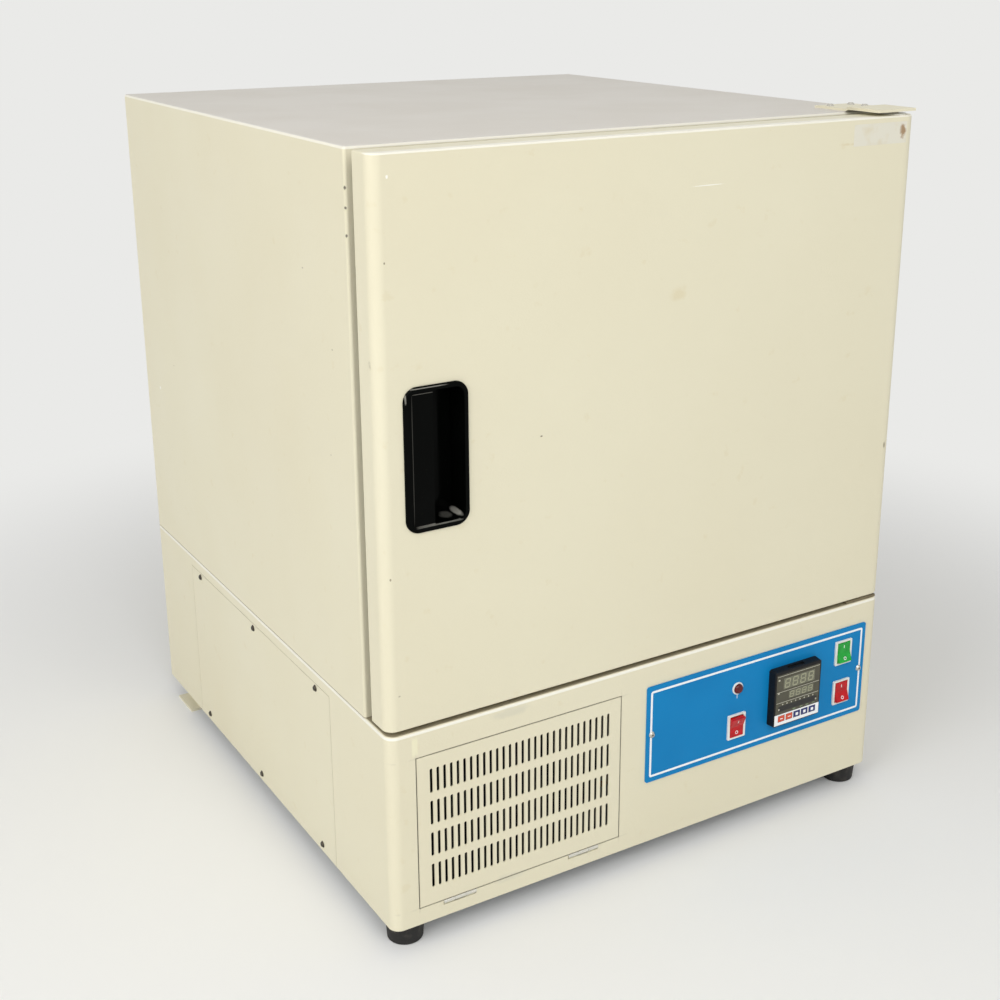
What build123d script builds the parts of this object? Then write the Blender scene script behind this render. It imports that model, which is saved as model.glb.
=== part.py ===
"""Refrigerated laboratory incubator: an insulated cabinet on a base that holds the cooling machine.

Millimetres, +Z up. The front faces -Y and X runs to the right as seen from the front.
The origin is on the floor, under the middle of the whole object.
Places are measured from the left side, from the base's front face and from the base's bottom edge.
"""
import os
from math import atan, cos, degrees, radians, sin, sqrt

from build123d import *

os.makedirs("parts", exist_ok=True)

# Outside sizes
base_width = 660.0
base_depth = 688.0
base_height = 224.0
cabinet_height = 571.0
cabinet_setback = 51.5
foot_height = 25.0

# Sheet metal and its bends
sheet = 1.2
corner_radius = 12.0
edge_radius = 3.5
cabinet_edge_radius = 3.0
flange_width = 16.0
seam = 0.6
fit_gap = 0.3
running_fit = 0.05

# Base floor and deck
floor_sheet = 1.5
floor_lip = 18.0
deck_sheet = 1.5
deck_lip = 26.0

# Side access panels
access_front = 140.0
access_rear = 125.0
access_drop = 15.0
access_screw_front = 36.0
access_screw_rear = 30.6
access_screw_low = 9.0
access_screw_drop = 5.6

# Casing screws, pan head
screw_head_radius = 4.0
screw_head_height = 1.9
screw_crown = 0.62
screw_shank_radius = 2.0
screw_length = 6.0
rear_screw_inset = 9.0
base_screw_inset = 30.0

# Intake grille door
grille_left = 30.7
grille_bottom = 20.0
grille_width = 249.6
grille_below_top = 30.2
grille_gap = 1.0
grille_flange = 8.0
slot_width = 3.3
slot_length = 27.8
slot_pitch = 7.75
slot_row_pitch = 36.9
slot_margin = 16.0
slot_rise = 2.0

# Grille hinges
grille_hinge_inset = 27.8
grille_hinge_length = 38.8
grille_knuckle_radius = 2.3
grille_pin_radius = 1.2
grille_hinge_drop = 3.0
grille_hinge_back = 1.0
leaf_sheet = 1.0
leaf_height = 13.0
notch_drop = 3.4
catch_width = 30.0
catch_depth = 11.0
catch_height = 12.0
catch_corner = 2.0

# Control panel
panel_right_margin = 20.7
panel_below_top = 28.8
panel_width = 324.5
panel_height = 118.4
panel_thickness = 1.5
panel_corner = 3.0
panel_ledge = 13.0
panel_screw_inset = 7.5
panel_screw_radius = 3.9

# Temperature controller
controller_from_right = 134.4
controller_below_top = 89.0
controller_flange = 72.0
controller_taper = 1.0
controller_stand_out = 11.0
controller_body = 67.5
controller_body_depth = 80.0
controller_corner = 3.0
controller_chamfer = 0.8
latch_width = 24.0
latch_length = 5.0
latch_depth = 2.0
window_width = 66.0
window_height = 51.0
window_thickness = 1.2
window_top_margin = 3.5
key_pitch = 11.8
key_width = 9.5
key_height = 7.3
key_corner = 1.0
key_thickness = 2.6
key_travel = 0.5
key_stand_out = 0.4
key_rise = 9.5

# Rocker switches
switch_right_margin = 56.2
switch_left_margin = 217.6
switch_high_drop = 59.1
switch_low_drop = 111.2
bezel_width = 25.5
bezel_height = 31.0
bezel_thickness = 2.0
bezel_corner = 1.2
switch_body_width = 22.0
switch_body_height = 28.4
switch_body_depth = 24.0
switch_wall = 1.2
switch_end_wall = 0.9
rocker_tilt = 10.0
rocker_height = 24.4
rocker_depth = 9.0
rocker_heel_share = 0.5
rocker_pivot_back = 3.0
rocker_rise = 0.5
rocker_pin_radius = 1.0
rocker_pin_length = 0.9

# Pilot lamp
lamp_from_right = 217.4
lamp_below_top = 63.5
lamp_bezel_radius = 7.5
lamp_bezel_height = 1.6
lamp_bezel_chamfer = 0.5
lamp_lens_radius = 6.0
lamp_lens_rise = 3.6
lamp_body_radius = 6.5
lamp_body_length = 18.0

# Electrical box and power inlet
electrical_from_right = 60.0
electrical_front = 130.0
electrical_width = 200.0
electrical_depth = 190.0
electrical_height = 120.0
electrical_corner = 4.0
inlet_from_right = 100.0
inlet_height = 60.0
inlet_width = 28.0
inlet_tall = 48.0
inlet_stand_out = 3.0
inlet_corner = 4.0
inlet_body_width = 22.0
inlet_body_tall = 27.5
inlet_body_depth = 20.0
socket_side_wall = 2.5
socket_end_wall = 2.0
socket_floor = 3.0
socket_corner = 2.0

# Rear vents of the base
vent_width = 5.0
vent_length = 60.0
vent_pitch = 16.0
vent_columns = 15
vent_middle = 210.0
vent_row_pitch = 84.0

# Condenser, its shroud and fan
condenser_left = 38.0
condenser_front = 26.0
condenser_narrower = 13.6
condenser_depth = 54.0
condenser_headroom = 51.8
fin_pitch = 9.0
fin_thickness = 1.4
fin_depth = 14.0
tube_radius = 4.8
tube_rows = 3
coil_end_plate = 2.0
shroud_depth = 22.0
shroud_sheet = 1.2
condenser_fan_radius = 70.0
condenser_fan_tip_gap = 4.0
condenser_motor_radius = 30.0
condenser_motor_length = 52.0
motor_arm_width = 12.0
motor_arm_thickness = 3.0
motor_chamfer = 2.5

# Fans
fan_hub_radius = 16.0
fan_hub_length = 14.0
fan_blade_width = 34.0
fan_blade_thickness = 1.5
fan_blade_pitch = 32.0
fan_blade_sink = 3.0
fan_blade_root_gap = 2.0
fan_blade_shoulder = 0.94
fan_blade_tip_gap = 0.5
fan_shaft_radius = 3.0
fan_shaft_length = 18.0
fan_motor_gap = 4.0
condenser_fan_blades = 5
circulation_fan_blades = 4

# Compressor
compressor_middle = 210.0
compressor_from_rear = 258.0
compressor_radius = 74.0
compressor_height = 168.0
compressor_dome = 40.0
compressor_seam_radius = 78.0
compressor_seam_height = 6.0
compressor_seam_rise = 92.0
compressor_plate_width = 190.0
compressor_plate_depth = 130.0
compressor_plate_thickness = 3.0
compressor_plate_corner = 10.0
grommet_radius = 11.0
grommet_height = 14.0
grommet_inset = 13.2
pipe_radius = 4.8
pipe_bend = 22.0
pipe_rise = 60.0
pipe_run = 60.0
discharge_share = 0.7
discharge_turn = 34.0
discharge_row = 2.25

# Feet
foot_radius = 21.0
foot_taper = 2.0
foot_inset = 25.0
foot_edge = 2.0
bracket_from_rear = 25.0
bracket_length = 51.0
bracket_width = 22.0
bracket_sheet = 2.5
bracket_web_inset = 15.0
bracket_hole_radius = 3.5
bracket_hole_inset = 12.0
bracket_hole_rise = 13.75

# Chamber
wall_thickness = 50.0
roof_thickness = 45.0
chamber_floor_rise = 45.0
rear_wall_thickness = 48.0
chamber_corner = 8.0
liner_sheet = 1.0
breaker_width = 8.0
breaker_depth = 6.0

# Air plenum at the back of the chamber
plenum_depth = 80.0
plenum_sheet = 1.0
plenum_return = 14.0
plenum_slot_height = 7.0
plenum_slot_pitch = 17.0
plenum_slot_rows = 7
plenum_fan_rise = 318.0
plenum_outlet_width = 44.0
plenum_outlet_pitch = 62.0
plenum_outlet_count = 8
plenum_outlet_rise = 40.0
evaporator_side_gap = 65.0
evaporator_depth = 44.0
evaporator_height = 112.0
evaporator_rise = 30.0
heater_side_gap = 90.0
heater_rise = 178.0
heater_bend_radius = 16.0
heater_tube_radius = 4.0
heater_clip_width = 12.0
circulation_fan_radius = 72.0
circulation_motor_radius = 36.0
circulation_motor_length = 34.0
probe_radius = 2.5
probe_length = 70.0
probe_from_wall = 100.0
probe_rise = 250.0
probe_flange_radius = 7.0
probe_flange_thickness = 3.0

# Shelves and what carries them
pilaster_width = 15.0
pilaster_depth = 5.0
pilaster_sheet = 1.2
pilaster_end_gap = 25.5
pilaster_front_inset = 70.0
pilaster_rear_inset = 80.0
pilaster_slot_width = 5.0
pilaster_slot_height = 12.0
pilaster_slot_pitch = 40.0
clip_width = 12.0
clip_reach = 12.0
clip_thickness = 3.0
clip_upstand = 14.0
shelf_side_gap = 8.0
shelf_front_inset = 24.0
shelf_rear_gap = 8.5
shelf_rises = (130.0, 290.0)
shelf_rod_radius = 3.0
shelf_wire_radius = 1.5
shelf_wire_pitch = 24.0
shelf_weld = 0.6

# Door
door_thickness = 33.5
door_setback = 1.0
door_gap_below = 4.5
door_gap_above = 1.5
door_edge_radius = 2.0
door_liner_sheet = 1.0
dyke_inset = 62.0
dyke_height = 9.0
dyke_slope = 25.0
dyke_corner = 20.0
gasket_inset = 22.0
gasket_width = 18.0
gasket_neck_width = 9.0
gasket_magnet_depth = 8.0
gasket_corner = 6.0

# Handle pull
pull_left = 26.6
pull_bottom = 205.2
pull_width = 69.1
pull_height = 144.5
pull_corner = 14.5
pull_proud = 2.6
pull_rim = 5.0
pull_lap = 2.5
pull_wall = 2.0
pull_depth = 27.0
pull_grip_width = 27.0
pull_grip_thickness = 3.5
pull_grip_recess = 3.0
pull_edge = 1.8
pull_draft = 3.0

# Door hinges
hinge_inset = 18.0
hinge_back = 17.0
hinge_plate_width = 55.0
hinge_plate_length = 100.0
hinge_plate_front = 0.5
hinge_plate_thickness = 3.0
hinge_plate_joggle = 2.5
hinge_plate_step = 4.0
hinge_plate_right = 2.0
hinge_pin_radius = 5.0
hinge_pin_reach = 18.0
bush_radius = 9.0
bush_flange_radius = 13.0
bush_flange_thickness = 1.2
bush_length = 20.0
lower_plate_length = 41.0
lower_plate_front = 14.6
lower_plate_width = 46.0
hinge_screw_radius = 4.5
hinge_screw_head = 2.2
hinge_screw_inset = 12.0
hinge_screw_pitch = 22.0

# Sizes, levels and planes that follow from the sizes above
access_length = base_depth - access_front - access_rear
access_height = base_height - access_drop
grille_height = base_height - grille_below_top - grille_bottom
panel_left = base_width - panel_right_margin - panel_width
panel_bottom = base_height - panel_below_top - panel_height
controller_middle = base_width - controller_from_right
controller_height = base_height - controller_below_top
switch_right = base_width - switch_right_margin
switch_left = base_width - switch_left_margin
switch_high = base_height - switch_high_drop
switch_low = base_height - switch_low_drop
lamp_middle = base_width - lamp_from_right
lamp_height = base_height - lamp_below_top
electrical_left = base_width - electrical_from_right - electrical_width
inlet_middle = base_width - inlet_from_right
condenser_width = grille_width - condenser_narrower
condenser_height = base_height - floor_sheet - sheet - deck_sheet - condenser_headroom
compressor_back = base_depth - compressor_from_rear
bracket_front = base_depth - bracket_from_rear - bracket_length
chamber_width = base_width - 2 * wall_thickness
chamber_height = cabinet_height - chamber_floor_rise - roof_thickness
chamber_bottom = base_height + chamber_floor_rise
chamber_back = base_depth - rear_wall_thickness
plenum_front = chamber_back - plenum_depth
evaporator_width = chamber_width - 2 * evaporator_side_gap
heater_width = chamber_width - 2 * heater_side_gap
probe_right = chamber_width / 2 - probe_from_wall
pilaster_height = chamber_height - 2 * pilaster_end_gap
shelf_width = chamber_width - 2 * shelf_side_gap
shelf_depth = plenum_front - cabinet_setback - breaker_depth - shelf_front_inset - shelf_rear_gap
switch_stand_out = panel_thickness + bezel_thickness
controller_front = panel_thickness + controller_stand_out
controller_face = controller_flange - 2 * controller_taper
front_reach = controller_front + key_stand_out
rear_reach = inlet_stand_out
middle_depth = (base_depth + rear_reach - front_reach) / 2
shell_depth = base_depth - sheet
base_bottom = foot_height
base_top = base_bottom + base_height
cabinet_top = base_top + cabinet_height
liner_bottom = base_bottom + chamber_bottom
chamber_top = liner_bottom + chamber_height
half_width = base_width / 2


def from_left(distance):
    """X of a point this far to the right of the left side."""
    return distance - half_width


def from_front(distance):
    """Y of a point this far behind the base's front face."""
    return distance - middle_depth


def above_base(distance):
    """Z of a point this far above the base's bottom edge."""
    return distance + base_bottom


def facing_front(distance):
    """A plane to draw on as seen from the front, this far behind the base's front face."""
    return Plane.XZ.offset(-from_front(distance))


def block(left, right, front, back, bottom, top, mode=Mode.ADD):
    """A rectangular bar between two X, two Y and two Z values."""
    with Locations(((left + right) / 2, (front + back) / 2, (bottom + top) / 2)):
        Box(right - left, back - front, top - bottom, mode=mode)


def rounded_box(width, depth, bottom, height, front, radius):
    """A box whose front vertical corners are rounded, its front face this far behind the base's."""
    with BuildSketch(Plane.XY.offset(bottom)) as outline:
        with Locations((0, from_front(front + depth / 2))):
            Rectangle(width, depth)
        fillet(outline.vertices().group_by(Axis.Y)[0], radius)
    extrude(outline.sketch, amount=height)


def save(piece, name):
    """Give a finished piece its name and write it."""
    piece.part.label = name
    export_step(piece.part, "parts/" + name + ".step")


# Base shell: front, sides and top in one skin

grille_right = grille_left + grille_width
grille_top = grille_bottom + grille_height
panel_right = panel_left + panel_width
panel_top = panel_bottom + panel_height
panel_middle_height = panel_bottom + panel_height / 2
access_back = access_front + access_length
access_screw_places = (
    access_front + access_screw_front,
    (access_front + access_screw_front + access_back - access_screw_rear) / 2,
    access_back - access_screw_rear,
)
access_screw_levels = (access_screw_low, access_height - access_screw_drop)
grille_hinge_lefts = (
    grille_left + grille_hinge_inset,
    grille_right - grille_hinge_inset - grille_hinge_length,
)
panel_screw_places = (panel_left + panel_screw_inset, panel_right - panel_screw_inset)


def base_rear_screw_holes():
    """Clearance holes for the base's rear screws, through its rear panel and the shell's flanges."""
    with BuildSketch(facing_front(base_depth)) as holes:
        with Locations((0, base_bottom + base_height / 2)):
            with GridLocations(base_width - 2 * rear_screw_inset, base_height - 2 * base_screw_inset, 2, 2):
                Circle(screw_shank_radius + fit_gap)
    extrude(holes.sketch, amount=3 * sheet, mode=Mode.SUBTRACT)


def screw_holes_sideways(reach):
    """Clearance holes for the access panel screws, through both sides."""
    for distance in access_screw_places:
        for level in access_screw_levels:
            for side in (-1, 1):
                place = Location((side * half_width, from_front(distance), above_base(level)), (0, 90, 0))
                with Locations(place):
                    Cylinder(screw_shank_radius + fit_gap, reach, mode=Mode.SUBTRACT)


with BuildPart() as base_shell:
    rounded_box(base_width, shell_depth, base_bottom, base_height, 0, corner_radius)
    fillet(base_shell.faces().sort_by(Axis.Z)[-1].edges().sort_by(Axis.Y)[:-1], edge_radius)
    open_bottom = base_shell.faces().sort_by(Axis.Z)[0]
    open_rear = base_shell.faces().sort_by(Axis.Y)[-1]
    offset(amount=-sheet, openings=[open_bottom, open_rear])
    for side in (-1, 1):
        inner = side * (half_width - sheet)
        flange = side * (half_width - flange_width)
        block(min(inner, flange), max(inner, flange), from_front(shell_depth - sheet),
              from_front(shell_depth), base_bottom, base_top - edge_radius)
        block(side * half_width - 2 * sheet, side * half_width + 2 * sheet,
              from_front(access_front - seam), from_front(access_back + seam),
              base_bottom - sheet, above_base(access_height + seam), mode=Mode.SUBTRACT)
    block(from_left(grille_left - grille_gap), from_left(grille_right + grille_gap),
          from_front(-sheet), from_front(2 * sheet),
          above_base(grille_bottom - grille_gap), above_base(grille_top + grille_gap), mode=Mode.SUBTRACT)
    for left in grille_hinge_lefts:
        block(from_left(left - fit_gap), from_left(left + grille_hinge_length + fit_gap),
              from_front(-sheet), from_front(2 * sheet),
              above_base(grille_bottom - grille_hinge_drop - notch_drop),
              above_base(grille_bottom), mode=Mode.SUBTRACT)
    block(from_left(panel_left + panel_ledge), from_left(panel_right - panel_ledge),
          from_front(-sheet), from_front(2 * sheet),
          above_base(panel_bottom + panel_ledge), above_base(panel_top - panel_ledge), mode=Mode.SUBTRACT)
    with BuildSketch(facing_front(0)):
        with Locations(*[(from_left(x), above_base(panel_middle_height)) for x in panel_screw_places]):
            Circle(screw_shank_radius + fit_gap)
    extrude(amount=-2 * sheet, mode=Mode.SUBTRACT)
    base_rear_screw_holes()

# Base floor: a tray inside the shell's bottom edge, open at the front for the grille hinges

inside_depth = shell_depth - 2 * sheet
inner_corner = corner_radius - sheet + fit_gap

with BuildPart() as base_floor:
    rounded_box(base_width - 2 * sheet, inside_depth, base_bottom, floor_lip, sheet, inner_corner)
    offset(amount=-floor_sheet, openings=base_floor.faces().sort_by(Axis.Z)[-1])
    block(-half_width, half_width, from_front(0), from_front(corner_radius + sheet),
          base_bottom + floor_sheet, base_bottom + 2 * floor_lip, mode=Mode.SUBTRACT)
    screw_holes_sideways(2 * screw_length + 2 * sheet)
save(base_floor, "base_floor")

# Base deck: a stiffening pan under the shell's top, its lips hanging down behind the side panels

deck_top = base_top - sheet

with BuildPart() as base_deck:
    rounded_box(base_width - 2 * sheet, inside_depth, deck_top - deck_lip, deck_lip, sheet, inner_corner)
    deck_edges = base_deck.faces().sort_by(Axis.Z)[-1].edges().sort_by(Axis.Y)[:-1]
    fillet(deck_edges, edge_radius - sheet + fit_gap)
    offset(amount=-deck_sheet, openings=base_deck.faces().sort_by(Axis.Z)[0])
    screw_holes_sideways(2 * screw_length + 2 * sheet)

# Rear panel of the base, with two rows of vents and the power inlet's hole

with BuildPart() as base_back_panel:
    block(-half_width, half_width, from_front(shell_depth), from_front(base_depth), base_bottom, base_top)
    with BuildSketch(facing_front(shell_depth - sheet)):
        with Locations((from_left(vent_middle), above_base(base_height / 2))):
            with GridLocations(vent_pitch, vent_row_pitch, vent_columns, 2):
                Rectangle(vent_width, vent_length)
        with Locations((from_left(inlet_middle), above_base(inlet_height))):
            Rectangle(inlet_body_width + 2 * fit_gap, inlet_body_tall + 2 * fit_gap)
    extrude(amount=-4 * sheet, mode=Mode.SUBTRACT)
    base_rear_screw_holes()
save(base_back_panel, "base_back_panel")

# Side access panels, flush in their openings

with BuildPart() as access_panels:
    for side in (-1, 1):
        outer = side * half_width
        inner = side * (half_width - sheet)
        block(min(outer, inner), max(outer, inner), from_front(access_front), from_front(access_back),
              base_bottom, above_base(access_height))
    screw_holes_sideways(4 * sheet)
save(access_panels, "access_panels")


def pan_head_screw(place, head_radius=screw_head_radius):
    """One screw whose head stands on the surface at this place, along the place's +Z."""
    with Locations(place):
        Cone(head_radius, head_radius * screw_crown, screw_head_height,
             align=(Align.CENTER, Align.CENTER, Align.MIN))
        Cylinder(screw_shank_radius, screw_length, align=(Align.CENTER, Align.CENTER, Align.MAX))


# Casing screws: six in each access panel, six in the cabinet's rear panel and four in the base's

rear_screw_reach = cabinet_height - 2 * rear_screw_inset
base_rear_screw_reach = base_height - 2 * base_screw_inset

with BuildPart() as casing_screws:
    for distance in access_screw_places:
        for level in access_screw_levels:
            for side in (-1, 1):
                pan_head_screw(Location((side * half_width, from_front(distance), above_base(level)),
                                        (0, side * 90, 0)))
    for column in (-1, 1):
        for share in (0, 0.5, 1):
            pan_head_screw(Location((column * (half_width - rear_screw_inset), from_front(base_depth),
                                     base_top + rear_screw_inset + share * rear_screw_reach), (-90, 0, 0)))
        for share in (0, 1):
            pan_head_screw(Location((column * (half_width - rear_screw_inset), from_front(base_depth),
                                     base_bottom + base_screw_inset + share * base_rear_screw_reach),
                                    (-90, 0, 0)))
save(casing_screws, "casing_screws")

# Intake grille door: a flanged sheet with rows of round-ended slots

slot_columns = int((grille_width - 2 * slot_margin) / slot_pitch) + 1
slot_rows = int((grille_height - slot_length - slot_margin) / slot_row_pitch) + 1

with BuildPart() as grille_door:
    block(from_left(grille_left), from_left(grille_right), from_front(0), from_front(grille_flange),
          above_base(grille_bottom), above_base(grille_top))
    grille_open = [grille_door.faces().sort_by(Axis.Y)[-1], grille_door.faces().sort_by(Axis.Z)[0]]
    offset(amount=-sheet, openings=grille_open)
    with BuildSketch(facing_front(0)):
        with Locations((from_left((grille_left + grille_right) / 2),
                        above_base((grille_bottom + grille_top) / 2 + slot_rise))):
            with GridLocations(slot_pitch, slot_row_pitch, slot_columns, slot_rows):
                SlotOverall(slot_length, slot_width, rotation=90)
    extrude(amount=-2 * sheet, mode=Mode.SUBTRACT)
save(grille_door, "grille_door")

# Grille hinges: the middle knuckle turns with the grille, the outer two and the pin stay with the base

grille_axis_y = from_front(grille_hinge_back)
grille_axis_z = above_base(grille_bottom - grille_hinge_drop)
knuckle_length = (grille_hinge_length - 2 * fit_gap) / 3


def knuckle(left, length, bore):
    """A hinge barrel along X from this X on; a bore of 0 leaves it solid."""
    with Locations(Location((left + length / 2, grille_axis_y, grille_axis_z), (0, 90, 0))):
        Cylinder(grille_knuckle_radius, length)
        if bore:
            Cylinder(bore, length, mode=Mode.SUBTRACT)


with BuildPart() as grille_moving_leaves:
    for hinge_left in grille_hinge_lefts:
        left = from_left(hinge_left) + knuckle_length + fit_gap
        block(left, left + knuckle_length, from_front(sheet), from_front(sheet + leaf_sheet),
              grille_axis_z, grille_axis_z + leaf_height + grille_hinge_drop)
        knuckle(left, knuckle_length, grille_pin_radius + running_fit)
save(grille_moving_leaves, "grille_moving_leaves")

with BuildPart() as grille_fixed_leaves:
    for hinge_left in grille_hinge_lefts:
        left = from_left(hinge_left)
        for start in (left, left + 2 * (knuckle_length + fit_gap)):
            block(start, start + knuckle_length, from_front(sheet), from_front(sheet + leaf_sheet),
                  grille_axis_z - leaf_height, grille_axis_z)
            knuckle(start, knuckle_length, 0)
        with Locations(Location((left + grille_hinge_length / 2, grille_axis_y, grille_axis_z), (0, 90, 0))):
            Cylinder(grille_pin_radius, grille_hinge_length)
save(grille_fixed_leaves, "grille_fixed_leaves")

# Magnetic catch that holds the grille's top flange

with BuildPart() as grille_catch:
    catch_middle = from_left((grille_left + grille_right) / 2)
    catch_front = from_front(sheet + deck_sheet)
    catch_bottom = above_base(grille_top) + fit_gap
    block(catch_middle - catch_width / 2, catch_middle + catch_width / 2, catch_front,
          catch_front + catch_depth, catch_bottom, catch_bottom + catch_height)
    fillet(grille_catch.edges().filter_by(Axis.Y), catch_corner)
save(grille_catch, "grille_catch")

# Control panel plate with the cut-outs of what it carries

switch_places = ((switch_right, switch_high), (switch_right, switch_low), (switch_left, switch_low))

with BuildPart() as control_panel:
    with BuildSketch(facing_front(0)):
        with Locations((from_left((panel_left + panel_right) / 2), above_base(panel_middle_height))):
            RectangleRounded(panel_width, panel_height, panel_corner)
        with Locations((from_left(controller_middle), above_base(controller_height))):
            Rectangle(controller_body + 2 * fit_gap, controller_body + 2 * fit_gap, mode=Mode.SUBTRACT)
        with Locations(*[(from_left(x), above_base(z)) for x, z in switch_places]):
            Rectangle(switch_body_width + 2 * fit_gap, switch_body_height + 2 * fit_gap, mode=Mode.SUBTRACT)
        with Locations((from_left(lamp_middle), above_base(lamp_height))):
            Circle(lamp_body_radius + fit_gap, mode=Mode.SUBTRACT)
        with Locations(*[(from_left(x), above_base(panel_middle_height)) for x in panel_screw_places]):
            Circle(screw_shank_radius + fit_gap, mode=Mode.SUBTRACT)
    extrude(amount=panel_thickness)
save(control_panel, "control_panel")

with BuildPart() as control_panel_screws:
    for x in panel_screw_places:
        pan_head_screw(Location((from_left(x), from_front(-panel_thickness), above_base(panel_middle_height)),
                                (90, 0, 0)), panel_screw_radius)
save(control_panel_screws, "control_panel_screws")

# Temperature controller: case, window and five keys

controller_x = from_left(controller_middle)
controller_z = above_base(controller_height)
key_places = [(controller_x + step * key_pitch, controller_z - controller_face / 2 + key_rise)
              for step in (-2, -1, 0, 1, 2)]
key_well = key_thickness + key_travel + fit_gap
window_middle_z = controller_z + controller_face / 2 - window_top_margin - window_height / 2

with BuildPart() as controller_case:
    with BuildSketch(facing_front(-panel_thickness)):
        with Locations((controller_x, controller_z)):
            RectangleRounded(controller_flange, controller_flange, controller_corner)
    extrude(amount=controller_stand_out, taper=degrees(atan(controller_taper / controller_stand_out)))
    chamfer(controller_case.faces().sort_by(Axis.Y)[0].edges(), controller_chamfer)
    for side in (-1, 1):
        with Locations((controller_x, from_front(-panel_thickness - controller_stand_out / 2),
                        controller_z + side * controller_flange / 2)):
            Box(latch_width, latch_length, 2 * latch_depth, mode=Mode.SUBTRACT)
    with BuildSketch(facing_front(-panel_thickness)):
        with Locations((controller_x, controller_z)):
            Rectangle(controller_body, controller_body)
    extrude(amount=-controller_body_depth)
    with BuildSketch(facing_front(-controller_front)):
        with Locations((controller_x, window_middle_z)):
            Rectangle(window_width, window_height)
    extrude(amount=-window_thickness, mode=Mode.SUBTRACT)
    with BuildSketch(facing_front(-controller_front)):
        with Locations(*key_places):
            Rectangle(key_width + 2 * fit_gap, key_height + 2 * fit_gap)
    extrude(amount=-key_well, mode=Mode.SUBTRACT)
save(controller_case, "controller_case")

with BuildPart() as controller_window:
    with BuildSketch(facing_front(-controller_front)):
        with Locations((controller_x, window_middle_z)):
            Rectangle(window_width, window_height)
    extrude(amount=-window_thickness)
save(controller_window, "controller_window")

for number, place in enumerate(key_places, start=1):
    with BuildPart() as key:
        with BuildSketch(facing_front(-front_reach)):
            with Locations(place):
                RectangleRounded(key_width, key_height, key_corner)
        extrude(amount=-key_thickness)
        chamfer(key.faces().sort_by(Axis.Y)[0].edges(), fit_gap)
    save(key, f"controller_key_{number}")

# Rocker switches: three housings with white bezels, each with its own rocker

panel_face = from_front(-panel_thickness)
cavity_width = switch_body_width - 2 * switch_wall
cavity_height = switch_body_height - 2 * switch_end_wall
rocker_width = cavity_width - 2 * fit_gap
pivot_y = panel_face - bezel_thickness + rocker_pivot_back

with BuildPart() as switch_housings:
    for x, z in switch_places:
        with BuildSketch(facing_front(-panel_thickness)):
            with Locations((from_left(x), above_base(z))):
                RectangleRounded(bezel_width, bezel_height, bezel_corner)
        extrude(amount=bezel_thickness)
        with BuildSketch(facing_front(-panel_thickness)):
            with Locations((from_left(x), above_base(z))):
                Rectangle(switch_body_width, switch_body_height)
        extrude(amount=-switch_body_depth)
    for x, z in switch_places:
        with BuildSketch(facing_front(-switch_stand_out)):
            with Locations((from_left(x), above_base(z))):
                Rectangle(cavity_width, cavity_height)
        extrude(amount=-(bezel_thickness + switch_body_depth - 2 * switch_wall), mode=Mode.SUBTRACT)
        with Locations(Location((from_left(x), pivot_y, above_base(z)), (0, 90, 0))):
            Cylinder(rocker_pin_radius + running_fit, switch_body_width - switch_wall / 2, mode=Mode.SUBTRACT)
save(switch_housings, "switch_housings")


def rocker(x, z, tilt):
    """A rocker with a shallow V face, tipped about its pins; a positive tilt sinks its lower half."""
    half = rocker_height / 2
    face = rocker_pivot_back + rocker_rise
    tip = face + half * sin(radians(rocker_tilt)) / cos(radians(rocker_tilt))
    heel = face - rocker_depth
    heel_half = half * rocker_heel_share
    side = Plane(origin=(from_left(x) - rocker_width / 2, pivot_y, above_base(z)),
                 x_dir=(0, -cos(radians(tilt)), -sin(radians(tilt))), z_dir=(-1, 0, 0))
    with BuildSketch(side) as side_view:
        with BuildLine():
            Polyline((heel, -heel_half), (0, -half), (tip, -half), (face, 0), (tip, half), (0, half),
                     (heel, heel_half), (heel, -heel_half))
        make_face()
    extrude(side_view.sketch, amount=-rocker_width)
    with Locations(Location((from_left(x), pivot_y, above_base(z)), (0, 90, 0))):
        Cylinder(rocker_pin_radius, rocker_width + 2 * rocker_pin_length)


rocker_states = (
    ("refrigeration_rocker", switch_places[0], -rocker_tilt),
    ("power_rocker", switch_places[1], -rocker_tilt),
    ("contact_rocker", switch_places[2], rocker_tilt),
)
for name, (x, z), tilt in rocker_states:
    with BuildPart() as rocker_part:
        rocker(x, z, tilt)
    save(rocker_part, name)

# Pilot lamp: bezel with its body behind the panel, and a domed lens

with BuildPart() as pilot_lamp_bezel:
    with BuildSketch(facing_front(-panel_thickness)):
        with Locations((from_left(lamp_middle), above_base(lamp_height))):
            Circle(lamp_bezel_radius)
    extrude(amount=lamp_bezel_height)
    chamfer(pilot_lamp_bezel.faces().sort_by(Axis.Y)[0].edges(), lamp_bezel_chamfer)
    with BuildSketch(facing_front(-panel_thickness)):
        with Locations((from_left(lamp_middle), above_base(lamp_height))):
            Circle(lamp_body_radius)
    extrude(amount=-lamp_body_length)
    with BuildSketch(facing_front(-panel_thickness - lamp_bezel_height)):
        with Locations((from_left(lamp_middle), above_base(lamp_height))):
            Circle(lamp_lens_radius)
    extrude(amount=-lamp_bezel_height, mode=Mode.SUBTRACT)
save(pilot_lamp_bezel, "pilot_lamp_bezel")

with BuildPart() as pilot_lamp_lens:
    with BuildSketch(facing_front(-panel_thickness)):
        with Locations((from_left(lamp_middle), above_base(lamp_height))):
            Circle(lamp_lens_radius)
    extrude(amount=lamp_bezel_height + lamp_lens_rise)
    fillet(pilot_lamp_lens.faces().sort_by(Axis.Y)[0].edges(), lamp_lens_rise)
save(pilot_lamp_lens, "pilot_lamp_lens")

# Electrical box on the floor behind the control panel, and the power inlet at the rear

floor_top = base_bottom + floor_sheet

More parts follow.
